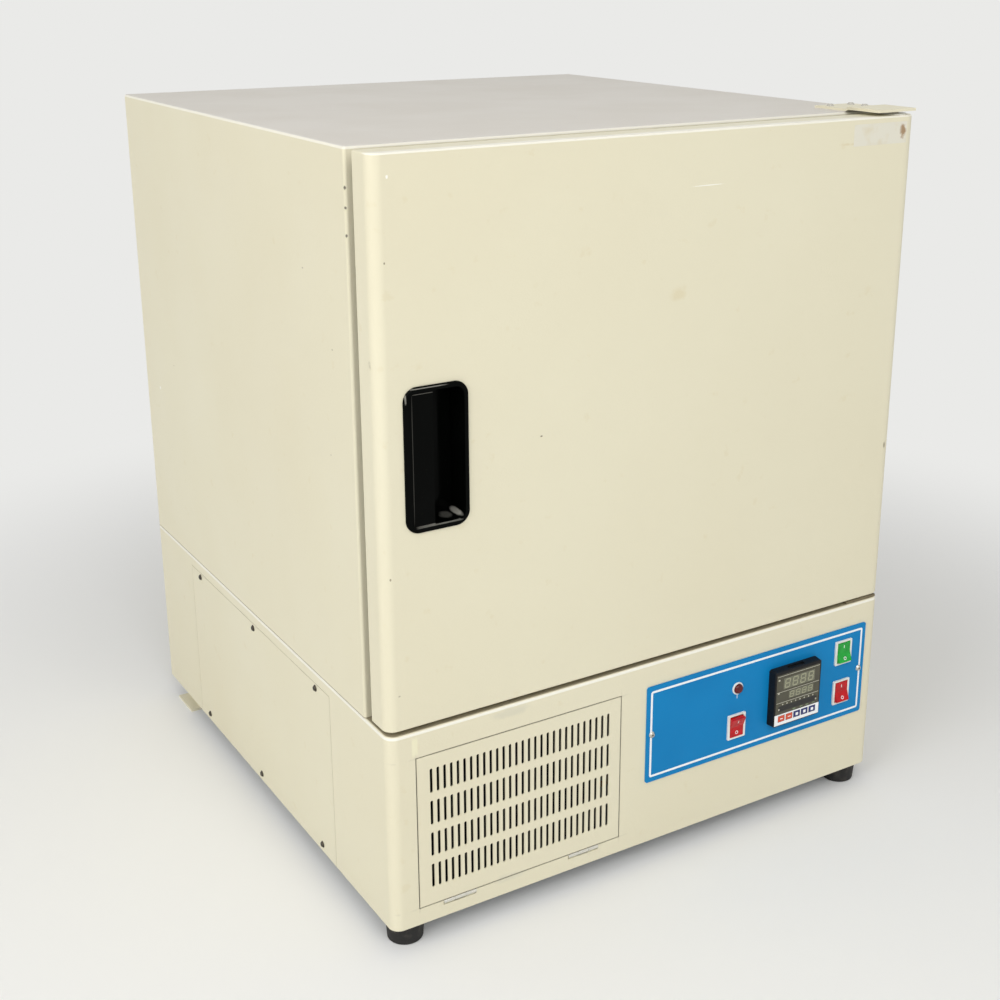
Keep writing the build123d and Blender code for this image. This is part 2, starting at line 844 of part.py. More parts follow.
with BuildPart() as electrical_box:
    block(from_left(electrical_left), from_left(electrical_left + electrical_width),
          from_front(electrical_front), from_front(electrical_front + electrical_depth),
          floor_top, floor_top + electrical_height)
    fillet(electrical_box.edges().filter_by(Axis.Z), electrical_corner)
save(electrical_box, "electrical_box")

with BuildPart() as power_inlet:
    with BuildSketch(Plane.XZ.offset(-from_front(base_depth + inlet_stand_out))):
        with Locations((from_left(inlet_middle), above_base(inlet_height))):
            RectangleRounded(inlet_width, inlet_tall, inlet_corner)
    extrude(amount=inlet_stand_out)
    with BuildSketch(Plane.XZ.offset(-from_front(base_depth))):
        with Locations((from_left(inlet_middle), above_base(inlet_height))):
            Rectangle(inlet_body_width, inlet_body_tall)
    extrude(amount=inlet_body_depth)
    with BuildSketch(Plane.XZ.offset(-from_front(base_depth + inlet_stand_out))):
        with Locations((from_left(inlet_middle), above_base(inlet_height))):
            RectangleRounded(inlet_body_width - 2 * socket_side_wall, inlet_body_tall - 2 * socket_end_wall,
                             socket_corner)
    extrude(amount=inlet_body_depth - socket_floor, mode=Mode.SUBTRACT)
save(power_inlet, "power_inlet")


def coil(left, width, front, depth, bottom, height, bend_rows):
    """A finned coil: vertical fins front and back on a core, end plates, and return bends at both ends."""
    block(left, left + width, front + fin_depth, front + depth - fin_depth, bottom, bottom + height)
    for end in (left, left + width - coil_end_plate):
        block(end, end + coil_end_plate, front, front + depth, bottom, bottom + height)
    fins = int((width - fin_pitch) / fin_pitch)
    for number in range(fins):
        fin_left = left + (width - (fins - 1) * fin_pitch) / 2 + number * fin_pitch - fin_thickness / 2
        block(fin_left, fin_left + fin_thickness, front, front + depth, bottom, bottom + height)
    bend = height / (2 * bend_rows + 1)
    for number in range(bend_rows):
        level = bottom + bend * (2 * number + 1)
        for end, first in ((left, level + bend / 2), (left + width, level - bend / 4)):
            way = -1 if end == left else 1
            start = (end, front + depth / 2, first)
            with BuildLine(Plane(origin=start, x_dir=(way, 0, 0), z_dir=(0, -way, 0))) as bend_path:
                CenterArc((0, bend / 2), bend / 2, -90, 180)
            with BuildSketch(Plane(origin=start, x_dir=(0, 1, 0), z_dir=(way, 0, 0))) as tube:
                Circle(tube_radius)
            sweep(tube.sketch, path=bend_path.line)


# Condenser behind the grille, standing on the floor

condenser_x = from_left(condenser_left)
condenser_y = from_front(condenser_front)

with BuildPart() as condenser_coil:
    coil(condenser_x, condenser_width, condenser_y, condenser_depth, floor_top, condenser_height, tube_rows)
save(condenser_coil, "condenser_coil")

# Fan shroud on the back of the condenser, with the arms that carry the motor

shroud_front = condenser_front + condenser_depth
shroud_back = shroud_front + shroud_depth
fan_x = condenser_x + condenser_width / 2
fan_z = floor_top + condenser_height / 2
fan_middle = shroud_back + fan_hub_length / 2 - shroud_sheet
motor_front = fan_middle + fan_hub_length / 2 + fan_motor_gap

with BuildPart() as condenser_shroud:
    block(condenser_x, condenser_x + condenser_width, from_front(shroud_front), from_front(shroud_back),
          floor_top, floor_top + condenser_height)
    offset(amount=-shroud_sheet, openings=condenser_shroud.faces().sort_by(Axis.Y)[0])
    with BuildSketch(facing_front(shroud_back)):
        with Locations((fan_x, fan_z)):
            Circle(condenser_fan_radius + condenser_fan_tip_gap)
    extrude(amount=2 * shroud_sheet, mode=Mode.SUBTRACT)
    arm_back = motor_front + motor_arm_thickness
    arm_reach = condenser_fan_radius + condenser_fan_tip_gap + motor_arm_width
    for side in (-1, 1):
        outer = fan_x + side * arm_reach
        inner = outer - side * motor_arm_thickness
        block(min(outer, inner), max(outer, inner), from_front(shroud_back - shroud_sheet),
              from_front(arm_back), fan_z - motor_arm_width / 2, fan_z + motor_arm_width / 2)
        rim = fan_x + side * condenser_motor_radius
        block(min(outer, rim), max(outer, rim), from_front(motor_front), from_front(arm_back),
              fan_z - motor_arm_width / 2, fan_z + motor_arm_width / 2)
save(condenser_shroud, "condenser_shroud")


def motor(x, z, front, radius, length):
    """A round fan motor with a bore for the fan's shaft in its front face."""
    with BuildSketch(facing_front(front)) as can:
        with Locations((x, z)):
            Circle(radius)
    extrude(can.sketch, amount=-length)
    chamfer(edges().filter_by(GeomType.CIRCLE), motor_chamfer)
    with BuildSketch(facing_front(front)) as bore:
        with Locations((x, z)):
            Circle(fan_shaft_radius + running_fit)
    extrude(bore.sketch, amount=-(fan_shaft_length + fit_gap), mode=Mode.SUBTRACT)


def fan(x, z, middle, radius, blades):
    """A bladed fan facing the front, with its shaft out of the back of the hub."""
    hub_front = middle - fan_hub_length / 2
    root = fan_hub_radius - fan_blade_sink
    root_half = fan_hub_length / 2 - fan_blade_root_gap
    shoulder = radius * fan_blade_shoulder
    with BuildSketch(facing_front(hub_front)) as hub:
        with Locations((x, z)):
            Circle(fan_hub_radius)
    extrude(hub.sketch, amount=-fan_hub_length)
    for number in range(blades):
        turn = 360 / blades * number
        outward = Vector(cos(radians(turn)), 0, sin(radians(turn)))
        across = Vector(-sin(radians(turn)), 0, cos(radians(turn)))
        face = across * sin(radians(fan_blade_pitch)) + Vector(0, -1, 0) * cos(radians(fan_blade_pitch))
        plane = Plane(origin=(x, from_front(middle), z), x_dir=outward, z_dir=face)
        with BuildSketch(plane) as blade:
            with BuildLine():
                Polyline((root, -root_half), (shoulder, -fan_blade_width / 2))
                ThreePointArc((shoulder, -fan_blade_width / 2), (radius - fan_blade_tip_gap, 0),
                              (shoulder, fan_blade_width / 2))
                Polyline((shoulder, fan_blade_width / 2), (root, root_half), (root, -root_half))
            make_face()
        extrude(blade.sketch, amount=fan_blade_thickness / 2, both=True)
    with BuildSketch(facing_front(hub_front + fan_hub_length)) as shaft:
        with Locations((x, z)):
            Circle(fan_shaft_radius)
    extrude(shaft.sketch, amount=-fan_shaft_length)


with BuildPart() as condenser_fan_motor:
    motor(fan_x, fan_z, motor_front, condenser_motor_radius, condenser_motor_length)
save(condenser_fan_motor, "condenser_fan_motor")

with BuildPart() as condenser_fan:
    fan(fan_x, fan_z, fan_middle, condenser_fan_radius, condenser_fan_blades)
save(condenser_fan, "condenser_fan")

# Compressor: a welded can on a foot plate, standing on rubber grommets

compressor_x = from_left(compressor_middle)
compressor_y = from_front(compressor_back)
plate_bottom = floor_top + grommet_height
can_bottom = plate_bottom + compressor_plate_thickness
seam_level = can_bottom + compressor_seam_rise

with BuildPart() as compressor:
    with Locations((compressor_x, compressor_y, can_bottom)):
        Cylinder(compressor_radius, compressor_height, align=(Align.CENTER, Align.CENTER, Align.MIN))
    fillet(compressor.faces().sort_by(Axis.Z)[-1].edges(), compressor_dome)
    with Locations((compressor_x, compressor_y, seam_level)):
        Cylinder(compressor_seam_radius, compressor_seam_height)
    with BuildSketch(Plane.XY.offset(plate_bottom)):
        with Locations((compressor_x, compressor_y)):
            RectangleRounded(compressor_plate_width, compressor_plate_depth, compressor_plate_corner)
    extrude(amount=compressor_plate_thickness)
save(compressor, "compressor")

with BuildPart() as compressor_grommets:
    with BuildSketch(Plane.XY.offset(floor_top)):
        with Locations((compressor_x, compressor_y)):
            with GridLocations(compressor_plate_width - 2 * grommet_inset,
                               compressor_plate_depth - 2 * grommet_inset, 2, 2):
                Circle(grommet_radius)
    extrude(amount=grommet_height)
save(compressor_grommets, "compressor_grommets")

# Refrigerant pipes: from the compressor to the condenser, and up into the chamber's plenum

pipe_level = can_bottom + pipe_rise
riser_x = compressor_x + compressor_radius + pipe_run
riser_y = from_front(chamber_back - liner_sheet - evaporator_depth / 2)
riser_top = liner_bottom + evaporator_rise
pipe_hole_radius = pipe_radius + fit_gap
discharge_y = from_front(condenser_front + condenser_depth / 2)
discharge_x = condenser_x + condenser_width
discharge_level = floor_top + condenser_height / (2 * tube_rows + 1) * discharge_row

with BuildPart() as refrigerant_pipes:
    with BuildLine():
        FilletPolyline((compressor_x + compressor_radius, compressor_y, pipe_level),
                       (riser_x, compressor_y, pipe_level), (riser_x, riser_y, pipe_level),
                       (riser_x, riser_y, riser_top), radius=pipe_bend)
    with BuildSketch(Plane(origin=(compressor_x + compressor_radius, compressor_y, pipe_level),
                           x_dir=(0, 1, 0), z_dir=(1, 0, 0))):
        Circle(pipe_radius)
    sweep()
    discharge_start = compressor_y - compressor_radius
    corner_x = discharge_x + discharge_turn
    with BuildLine():
        FilletPolyline((compressor_x, discharge_start, discharge_level),
                       (compressor_x, discharge_start - pipe_run, discharge_level),
                       (corner_x, discharge_start - pipe_run, discharge_level),
                       (corner_x, discharge_y, discharge_level),
                       (discharge_x, discharge_y, discharge_level), radius=pipe_bend * discharge_share)
    with BuildSketch(Plane(origin=(compressor_x, discharge_start, discharge_level),
                           x_dir=(1, 0, 0), z_dir=(0, -1, 0))):
        Circle(pipe_radius * discharge_share)
    sweep()
save(refrigerant_pipes, "refrigerant_pipes")

# Front feet: black rubber drums; rear feet: bent steel brackets

with BuildPart() as front_feet:
    for side in (-1, 1):
        with Locations((side * (half_width - foot_inset), from_front(foot_inset), 0)):
            Cone(foot_radius - foot_taper, foot_radius, foot_height,
                 align=(Align.CENTER, Align.CENTER, Align.MIN))
    fillet(front_feet.faces().filter_by(Axis.Z).group_by(Axis.Z)[0].edges(), foot_edge)
save(front_feet, "front_feet")

with BuildPart() as rear_foot_brackets:
    for side in (-1, 1):
        edge = side * half_width
        web = edge - side * bracket_web_inset
        inner = web - side * bracket_width
        spans = (
            (edge, web, 0, bracket_sheet),
            (web - side * bracket_sheet, web, 0, foot_height),
            (web, inner, foot_height - bracket_sheet, foot_height),
        )
        for first, last, bottom, top in spans:
            block(min(first, last), max(first, last), from_front(bracket_front),
                  from_front(bracket_front + bracket_length), bottom, top)
        for distance in (bracket_hole_inset, bracket_length - bracket_hole_inset):
            hole_y = from_front(bracket_front + distance)
            with Locations(Location((web, hole_y, bracket_hole_rise), (0, 90, 0))):
                Cylinder(bracket_hole_radius, 4 * bracket_sheet, mode=Mode.SUBTRACT)
save(rear_foot_brackets, "rear_foot_brackets")

# Cabinet casing: sides, top, rear flanges and the front face around the chamber's mouth

cabinet_depth = shell_depth - cabinet_setback
plate_right = half_width - hinge_plate_right
plate_left = plate_right - hinge_plate_width
plate_front_y = from_front(hinge_plate_front)
plate_back_y = plate_front_y + hinge_plate_length
hinge_screw_places = (
    (plate_left + hinge_screw_inset, plate_back_y - hinge_screw_inset),
    (plate_right - hinge_screw_inset, plate_back_y - hinge_screw_inset),
    (plate_right - hinge_screw_inset, plate_back_y - hinge_screw_inset - hinge_screw_pitch),
)


def hinge_screw_holes():
    """Clearance holes for the hinge screws, through the top bracket and the casing."""
    with Locations(*[(x, y, cabinet_top) for x, y in hinge_screw_places]):
        Cylinder(screw_shank_radius + fit_gap, 3 * hinge_plate_thickness, mode=Mode.SUBTRACT)


def cabinet_rear_flanges(mode):
    """The casing's inward flanges that the rear panel is screwed to."""
    flange_front = from_front(shell_depth - sheet)
    flange_back = from_front(shell_depth)
    wall = half_width - sheet
    for side in (-1, 1):
        inner = half_width - flange_width
        block(min(side * wall, side * inner), max(side * wall, side * inner), flange_front, flange_back,
              base_top, cabinet_top - cabinet_edge_radius, mode=mode)
    block(-half_width + cabinet_edge_radius, half_width - cabinet_edge_radius, flange_front, flange_back,
          cabinet_top - flange_width, cabinet_top - sheet, mode=mode)


def rear_screw_holes(reach):
    """Clearance holes for the cabinet's rear screws, this far forward from the rear panel."""
    with BuildSketch(facing_front(base_depth)) as holes:
        with Locations((0, base_top + cabinet_height / 2)):
            with GridLocations(base_width - 2 * rear_screw_inset, rear_screw_reach / 2, 2, 3):
                Circle(screw_shank_radius + fit_gap)
    extrude(holes.sketch, amount=reach, mode=Mode.SUBTRACT)

mouth_middle_z = liner_bottom + chamber_height / 2

with BuildPart() as cabinet_shell:
    rounded_box(base_width, cabinet_depth, base_top, cabinet_height, cabinet_setback, cabinet_edge_radius)
    fillet(cabinet_shell.faces().sort_by(Axis.Z)[-1].edges().sort_by(Axis.Y)[:-1], cabinet_edge_radius)
    open_bottom = cabinet_shell.faces().sort_by(Axis.Z)[0]
    open_rear = cabinet_shell.faces().sort_by(Axis.Y)[-1]
    offset(amount=-sheet, openings=[open_bottom, open_rear])
    with BuildSketch(facing_front(cabinet_setback)):
        with Locations((0, mouth_middle_z)):
            Rectangle(chamber_width + 2 * breaker_width, chamber_height + 2 * breaker_width)
    extrude(amount=-2 * sheet, mode=Mode.SUBTRACT)
    cabinet_rear_flanges(Mode.ADD)
    rear_screw_holes(3 * sheet)
    hinge_screw_holes()
save(cabinet_shell, "cabinet_shell")

with BuildPart() as cabinet_back:
    block(-half_width, half_width, from_front(shell_depth), from_front(base_depth), base_top, cabinet_top)
    fillet(cabinet_back.edges().filter_by(Axis.Y).group_by(Axis.Z)[-1], cabinet_edge_radius)
    rear_screw_holes(2 * sheet)
save(cabinet_back, "cabinet_back")

# Foam insulation between the casing and the liner

foam_front = cabinet_setback + sheet
liner_front = cabinet_setback + breaker_depth
foam_corner = cabinet_edge_radius - sheet + fit_gap

with BuildPart() as cabinet_insulation:
    rounded_box(base_width - 2 * sheet, shell_depth - foam_front, base_top, cabinet_height - sheet,
                foam_front, foam_corner)
    fillet(cabinet_insulation.faces().sort_by(Axis.Z)[-1].edges().sort_by(Axis.Y)[:-1], foam_corner)
    with BuildSketch(facing_front(foam_front)):
        with Locations((0, mouth_middle_z)):
            Rectangle(chamber_width + 2 * breaker_width, chamber_height + 2 * breaker_width)
    extrude(amount=-(breaker_depth - sheet), mode=Mode.SUBTRACT)
    with BuildSketch(facing_front(foam_front)):
        with Locations((0, mouth_middle_z)):
            RectangleRounded(chamber_width + 2 * liner_sheet, chamber_height + 2 * liner_sheet,
                             chamber_corner + liner_sheet)
    extrude(amount=-(chamber_back - foam_front), mode=Mode.SUBTRACT)
    cabinet_rear_flanges(Mode.SUBTRACT)
    rear_screw_holes(screw_length + 2 * sheet)
    with Locations((riser_x, riser_y, base_top)):
        Cylinder(pipe_hole_radius, chamber_bottom, mode=Mode.SUBTRACT)
save(cabinet_insulation, "cabinet_insulation")

# Breaker strip: the plastic frame between the cold liner and the warm casing

with BuildPart() as breaker_frame:
    with BuildSketch(facing_front(cabinet_setback)):
        with Locations((0, mouth_middle_z)):
            Rectangle(chamber_width + 2 * breaker_width, chamber_height + 2 * breaker_width)
            RectangleRounded(chamber_width, chamber_height, chamber_corner, mode=Mode.SUBTRACT)
    extrude(amount=-breaker_depth)
save(breaker_frame, "breaker_frame")

# Chamber liner: a stainless box, open at the front

with BuildPart() as chamber_liner:
    with BuildSketch(facing_front(liner_front)):
        with Locations((0, mouth_middle_z)):
            RectangleRounded(chamber_width + 2 * liner_sheet, chamber_height + 2 * liner_sheet,
                             chamber_corner + liner_sheet)
    extrude(amount=-(chamber_back - liner_front))
    offset(amount=-liner_sheet, openings=chamber_liner.faces().sort_by(Axis.Y)[0])
    with Locations((riser_x, riser_y, liner_bottom)):
        Cylinder(pipe_hole_radius, chamber_corner, mode=Mode.SUBTRACT)
save(chamber_liner, "chamber_liner")

# The riser passes through the deck and the base shell's top

for piece, name in ((base_shell, "base_shell"), (base_deck, "base_deck")):
    with piece:
        with Locations((riser_x, riser_y, base_top)):
            Cylinder(pipe_hole_radius, 2 * deck_lip, mode=Mode.SUBTRACT)
    save(piece, name)

# Plenum cover: a panel across the back of the chamber with its air inlet and outlets

plenum_fan_z = liner_bottom + plenum_fan_rise
inlet_half_height = (plenum_slot_rows - 1) / 2 * plenum_slot_pitch
inlet_reach = inlet_half_height + plenum_slot_pitch

with BuildPart() as plenum_cover:
    with BuildSketch(facing_front(plenum_front)):
        with Locations((0, mouth_middle_z)):
            RectangleRounded(chamber_width, chamber_height, chamber_corner + fit_gap)
        for row in range(plenum_slot_rows):
            rise = row * plenum_slot_pitch - inlet_half_height
            with Locations((0, plenum_fan_z + rise)):
                Rectangle(2 * sqrt(inlet_reach ** 2 - rise ** 2), plenum_slot_height, mode=Mode.SUBTRACT)
        for level in (liner_bottom + plenum_outlet_rise, chamber_top - plenum_outlet_rise):
            with Locations((0, level)):
                with GridLocations(plenum_outlet_pitch, 1, plenum_outlet_count, 1):
                    Rectangle(plenum_outlet_width, plenum_slot_height, mode=Mode.SUBTRACT)
    extrude(amount=-plenum_sheet)
    for side in (-1, 1):
        wall = side * chamber_width / 2
        inner = wall - side * plenum_sheet
        block(min(wall, inner), max(wall, inner), from_front(plenum_front),
              from_front(plenum_front + plenum_return), liner_bottom + 2 * chamber_corner,
              chamber_top - 2 * chamber_corner)
save(plenum_cover, "plenum_cover")

# Evaporator coil, on the liner's rear wall

plenum_back = chamber_back - liner_sheet

with BuildPart() as evaporator_coil:
    coil(-evaporator_width / 2, evaporator_width, from_front(plenum_back - evaporator_depth),
         evaporator_depth, riser_top, evaporator_height, 2)
save(evaporator_coil, "evaporator_coil")

# Heater element: a hairpin of tube in two clips on the rear wall

heater_y = from_front(plenum_back - evaporator_depth / 2)
heater_z = liner_bottom + heater_rise

with BuildPart() as heater_element:
    with BuildLine():
        Line((-heater_width / 2, heater_y, heater_z), (heater_width / 2, heater_y, heater_z))
        ThreePointArc((heater_width / 2, heater_y, heater_z),
                      (heater_width / 2 + heater_bend_radius, heater_y, heater_z + heater_bend_radius),
                      (heater_width / 2, heater_y, heater_z + 2 * heater_bend_radius))
        Line((heater_width / 2, heater_y, heater_z + 2 * heater_bend_radius),
             (-heater_width / 2, heater_y, heater_z + 2 * heater_bend_radius))
    with BuildSketch(Plane(origin=(-heater_width / 2, heater_y, heater_z), x_dir=(0, 1, 0), z_dir=(1, 0, 0))):
        Circle(heater_tube_radius)
    sweep()
    for x in (-heater_width / 2, heater_width / 2 - heater_clip_width):
        block(x, x + heater_clip_width, heater_y, from_front(plenum_back),
              heater_z - 2 * heater_tube_radius, heater_z + 2 * heater_bend_radius + 2 * heater_tube_radius)
save(heater_element, "heater_element")

# Circulation fan and its motor

circulation_motor_front = plenum_back - circulation_motor_length
circulation_fan_middle = circulation_motor_front - fan_motor_gap - fan_hub_length / 2

with BuildPart() as circulation_fan_motor:
    motor(0, plenum_fan_z, circulation_motor_front, circulation_motor_radius, circulation_motor_length)
save(circulation_fan_motor, "circulation_fan_motor")

with BuildPart() as circulation_fan:
    fan(0, plenum_fan_z, circulation_fan_middle, circulation_fan_radius, circulation_fan_blades)
save(circulation_fan, "circulation_fan")

# Temperature probe on the plenum cover

with BuildPart() as temperature_probe:
    with BuildSketch(facing_front(plenum_front)):
        with Locations((probe_right, liner_bottom + probe_rise)):
            Circle(probe_flange_radius)
    extrude(amount=probe_flange_thickness)
    with BuildSketch(facing_front(plenum_front)):
        with Locations((probe_right, liner_bottom + probe_rise)):
            Circle(probe_radius)
    extrude(amount=probe_length)
save(temperature_probe, "temperature_probe")

# Shelf pilasters on the side walls, their clips and two wire shelves

pilaster_places = (liner_front + pilaster_front_inset, plenum_front - pilaster_rear_inset)
pilaster_bottom = mouth_middle_z - pilaster_height / 2
pilaster_slots = int((pilaster_height - pilaster_slot_pitch / 2) / pilaster_slot_pitch)
chamber_half = chamber_width / 2

with BuildPart() as shelf_pilasters:
    for side in (-1, 1):
        for distance in pilaster_places:
            wall = side * chamber_half
            face = wall - side * pilaster_depth
            inner = face + side * pilaster_sheet
            middle = from_front(distance)
            half = pilaster_width / 2
            block(min(wall, face), max(wall, face), middle - half, middle + half,
                  pilaster_bottom, pilaster_bottom + pilaster_height)
            block(min(wall, inner), max(wall, inner), middle - half + pilaster_sheet,
                  middle + half - pilaster_sheet, pilaster_bottom, pilaster_bottom + pilaster_height,
                  mode=Mode.SUBTRACT)
            with BuildSketch(Plane.YZ.offset(face - side * pilaster_sheet)):
                with Locations((middle, mouth_middle_z)):
                    with GridLocations(1, pilaster_slot_pitch, 1, pilaster_slots):
                        Rectangle(pilaster_slot_width, pilaster_slot_height)
            extrude(amount=side * 3 * pilaster_sheet, mode=Mode.SUBTRACT)
save(shelf_pilasters, "shelf_pilasters")

pilaster_face = chamber_half - pilaster_depth

with BuildPart() as shelf_clips:
    for rise in shelf_rises:
        for side in (-1, 1):
            for distance in pilaster_places:
                face = side * pilaster_face
                level = liner_bottom + rise
                for first, last, bottom, top in (
                        (face, face - side * clip_thickness, level - clip_upstand, level),
                        (face, face - side * clip_reach, level - clip_thickness, level)):
                    block(min(first, last), max(first, last), from_front(distance) - clip_width / 2,
                          from_front(distance) + clip_width / 2, bottom, top)
save(shelf_clips, "shelf_clips")

for rise, name in zip(shelf_rises, ("lower_shelf", "upper_shelf")):
    with BuildPart() as shelf:
        level = liner_bottom + rise + shelf_rod_radius
        side_x = shelf_width / 2 - shelf_rod_radius
        front_y = from_front(liner_front + shelf_front_inset) + shelf_rod_radius
        back_y = front_y + shelf_depth - 2 * shelf_rod_radius
        for x in (-side_x, side_x):
            with Locations(Location((x, (front_y + back_y) / 2, level), (90, 0, 0))):
                Cylinder(shelf_rod_radius, back_y - front_y + 2 * shelf_rod_radius)
        for y in (front_y, (front_y + back_y) / 2, back_y):
            with Locations(Location((0, y, level), (0, 90, 0))):
                Cylinder(shelf_rod_radius, 2 * side_x)
        wires = int(shelf_width / shelf_wire_pitch) - 1
        wire_level = level + shelf_rod_radius + shelf_wire_radius - shelf_weld
        with Locations((0, (front_y + back_y) / 2, wire_level)):
            with GridLocations(shelf_wire_pitch, 1, wires, 1):
                Cylinder(shelf_wire_radius, back_y - front_y + shelf_rod_radius, rotation=(90, 0, 0))
    save(shelf, name)

# Door: outer shell with rounded front corners

door_bottom = base_top + door_gap_below
door_top = cabinet_top - door_gap_above
door_height = door_top - door_bottom
door_back = door_setback + door_thickness
hinge_x = half_width - hinge_inset
hinge_y = from_front(hinge_back)
pull_x = from_left(pull_left + pull_width / 2)
pull_z = door_bottom + pull_bottom + pull_height / 2

with BuildPart() as door_shell:
    rounded_box(base_width, door_thickness, door_bottom, door_height, door_setback, corner_radius)
    for face in (door_shell.faces().sort_by(Axis.Z)[-1], door_shell.faces().sort_by(Axis.Z)[0]):
        fillet(face.edges().sort_by(Axis.Y)[:-1], door_edge_radius)
    offset(amount=-sheet, openings=door_shell.faces().sort_by(Axis.Y)[-1])
    with BuildSketch(facing_front(door_setback)):
        with Locations((pull_x, pull_z)):
            RectangleRounded(pull_width - 2 * pull_lap, pull_height - 2 * pull_lap, pull_corner - pull_lap)
    extrude(amount=-2 * sheet, mode=Mode.SUBTRACT)
    for level in (door_bottom, door_top):
        with Locations((hinge_x, hinge_y, level)):
            Cylinder(bush_radius, 4 * sheet, mode=Mode.SUBTRACT)
save(door_shell, "door_shell")


dyke_width = base_width - 2 * dyke_inset
dyke_height_z = door_height - 2 * dyke_inset
door_middle_z = door_bottom + door_height / 2


def dyke_taper(shrink, start, height):
    """Add the dyke's sloping block, this much narrower all round, from a depth towards the back."""
    with BuildSketch(facing_front(start)) as foot:
        with Locations((0, door_middle_z)):
            RectangleRounded(dyke_width - 2 * shrink, dyke_height_z - 2 * shrink, dyke_corner - shrink)
    extrude(foot.sketch, amount=-height, taper=dyke_slope)


with BuildPart() as door_insulation:
    rounded_box(base_width - 2 * sheet, door_thickness - sheet - door_liner_sheet, door_bottom + sheet,
                door_height - 2 * sheet, door_setback + sheet, corner_radius - sheet + fit_gap)
    for face in (door_insulation.faces().sort_by(Axis.Z)[-1], door_insulation.faces().sort_by(Axis.Z)[0]):
        fillet(face.edges().sort_by(Axis.Y)[:-1], door_edge_radius - sheet + fit_gap)
    dyke_taper(door_liner_sheet, door_back - door_liner_sheet, dyke_height - door_liner_sheet)
    with BuildSketch(facing_front(door_setback)):
        with Locations((pull_x, pull_z)):
            RectangleRounded(pull_width - 2 * pull_lap, pull_height - 2 * pull_lap, pull_corner - pull_lap)
    extrude(amount=-(pull_depth + fit_gap), mode=Mode.SUBTRACT)
    for level, way in ((door_bottom, Align.MIN), (door_top, Align.MAX)):
        with Locations((hinge_x, hinge_y, level)):
            Cylinder(bush_radius, bush_length + fit_gap, align=(Align.CENTER, Align.CENTER, way),
                     mode=Mode.SUBTRACT)
save(door_insulation, "door_insulation")

# Door liner: the inner skin with its raised dyke

with BuildPart() as door_liner:
    block(-half_width + sheet, half_width - sheet, from_front(door_back - door_liner_sheet),
          from_front(door_back), door_bottom + sheet, door_top - sheet)
    fillet(door_liner.edges().filter_by(Axis.Y), door_edge_radius - sheet + fit_gap)
    dyke_taper(0, door_back, dyke_height)
    with BuildSketch(facing_front(door_back - door_liner_sheet)):
        with Locations((0, door_middle_z)):
            RectangleRounded(dyke_width - 2 * door_liner_sheet, dyke_height_z - 2 * door_liner_sheet,
                             dyke_corner - door_liner_sheet)
    extrude(amount=-(dyke_height - door_liner_sheet), taper=dyke_slope, mode=Mode.SUBTRACT)
save(door_liner, "door_liner")

# Gasket: a magnet strip on a softer neck, all round the door

gasket_thickness = cabinet_setback - door_back - fit_gap


def gasket_ring(width, start, amount):
    """One band of the gasket, centred on the gasket's own line."""
    middle = gasket_inset + gasket_width / 2
    outer = (base_width - 2 * middle + width, door_height - 2 * middle + width)
    inner = (base_width - 2 * middle - width, door_height - 2 * middle - width)
    with BuildSketch(facing_front(start)) as ring:
        with Locations((0, door_middle_z)):
            RectangleRounded(*outer, gasket_corner + width / 2)
            RectangleRounded(*inner, gasket_corner, mode=Mode.SUBTRACT)
    extrude(ring.sketch, amount=-amount)


with BuildPart() as door_gasket:
    gasket_ring(gasket_neck_width, door_back, gasket_thickness)
    gasket_ring(gasket_width, door_back + gasket_thickness - gasket_magnet_depth, gasket_magnet_depth)
save(door_gasket, "door_gasket")

# Handle pull: a rim on the door's face, a deep pocket, and a grip plate to hook the fingers behind

with BuildPart() as handle_pull:
    with BuildSketch(facing_front(door_setback)):
        with Locations((pull_x, pull_z)):
            RectangleRounded(pull_width, pull_height, pull_corner)
    extrude(amount=pull_proud)
    fillet(handle_pull.faces().sort_by(Axis.Y)[0].edges(), pull_edge)
    body_width = pull_width - 2 * pull_lap - 2 * fit_gap
    body_height = pull_height - 2 * pull_lap - 2 * fit_gap
    with BuildSketch(facing_front(door_setback)):
        with Locations((pull_x, pull_z)):
            RectangleRounded(body_width, body_height, pull_corner - pull_lap - fit_gap)
    extrude(amount=-pull_depth)
    pocket_width = pull_width - 2 * pull_rim
    pocket_height = pull_height - 2 * pull_rim
    pocket_front = door_setback - pull_proud
    pocket_depth = pull_proud + pull_depth - pull_wall
    with BuildSketch(facing_front(pocket_front)):
        with Locations((pull_x, pull_z)):
            RectangleRounded(pocket_width, pocket_height, pull_corner - pull_rim)
    extrude(amount=-pocket_depth, taper=pull_draft, mode=Mode.SUBTRACT)
    with BuildSketch(facing_front(pocket_front + pull_grip_recess)):
        with Locations((pull_x, pull_z)):
            RectangleRounded(pocket_width + pull_wall, pocket_height + pull_wall, pull_corner - pull_rim)
        with Locations((pull_x - pocket_width / 2 + pull_grip_width, pull_z)):
            Rectangle(pocket_width, pull_height, align=(Align.MIN, Align.CENTER), mode=Mode.SUBTRACT)
    extrude(amount=-pull_grip_thickness)
save(handle_pull, "handle_pull")

# Hinge bushes in the door's top and bottom edges

with BuildPart() as door_bushes:
    for level, way, flange_way in ((door_bottom, Align.MIN, Align.MAX), (door_top, Align.MAX, Align.MIN)):
        with Locations((hinge_x, hinge_y, level)):
            Cylinder(bush_radius, bush_length, align=(Align.CENTER, Align.CENTER, way))
            Cylinder(bush_flange_radius, bush_flange_thickness,
                     align=(Align.CENTER, Align.CENTER, flange_way))
            Cylinder(hinge_pin_radius + running_fit, 2 * (bush_length + bush_flange_thickness),
                     mode=Mode.SUBTRACT)
save(door_bushes, "door_bushes")

# Top hinge bracket: a plate on the cabinet's top, stepped up over the door, with the upper pin

step_y = from_front(cabinet_setback)
joggle = hinge_plate_joggle
thick = hinge_plate_thickness

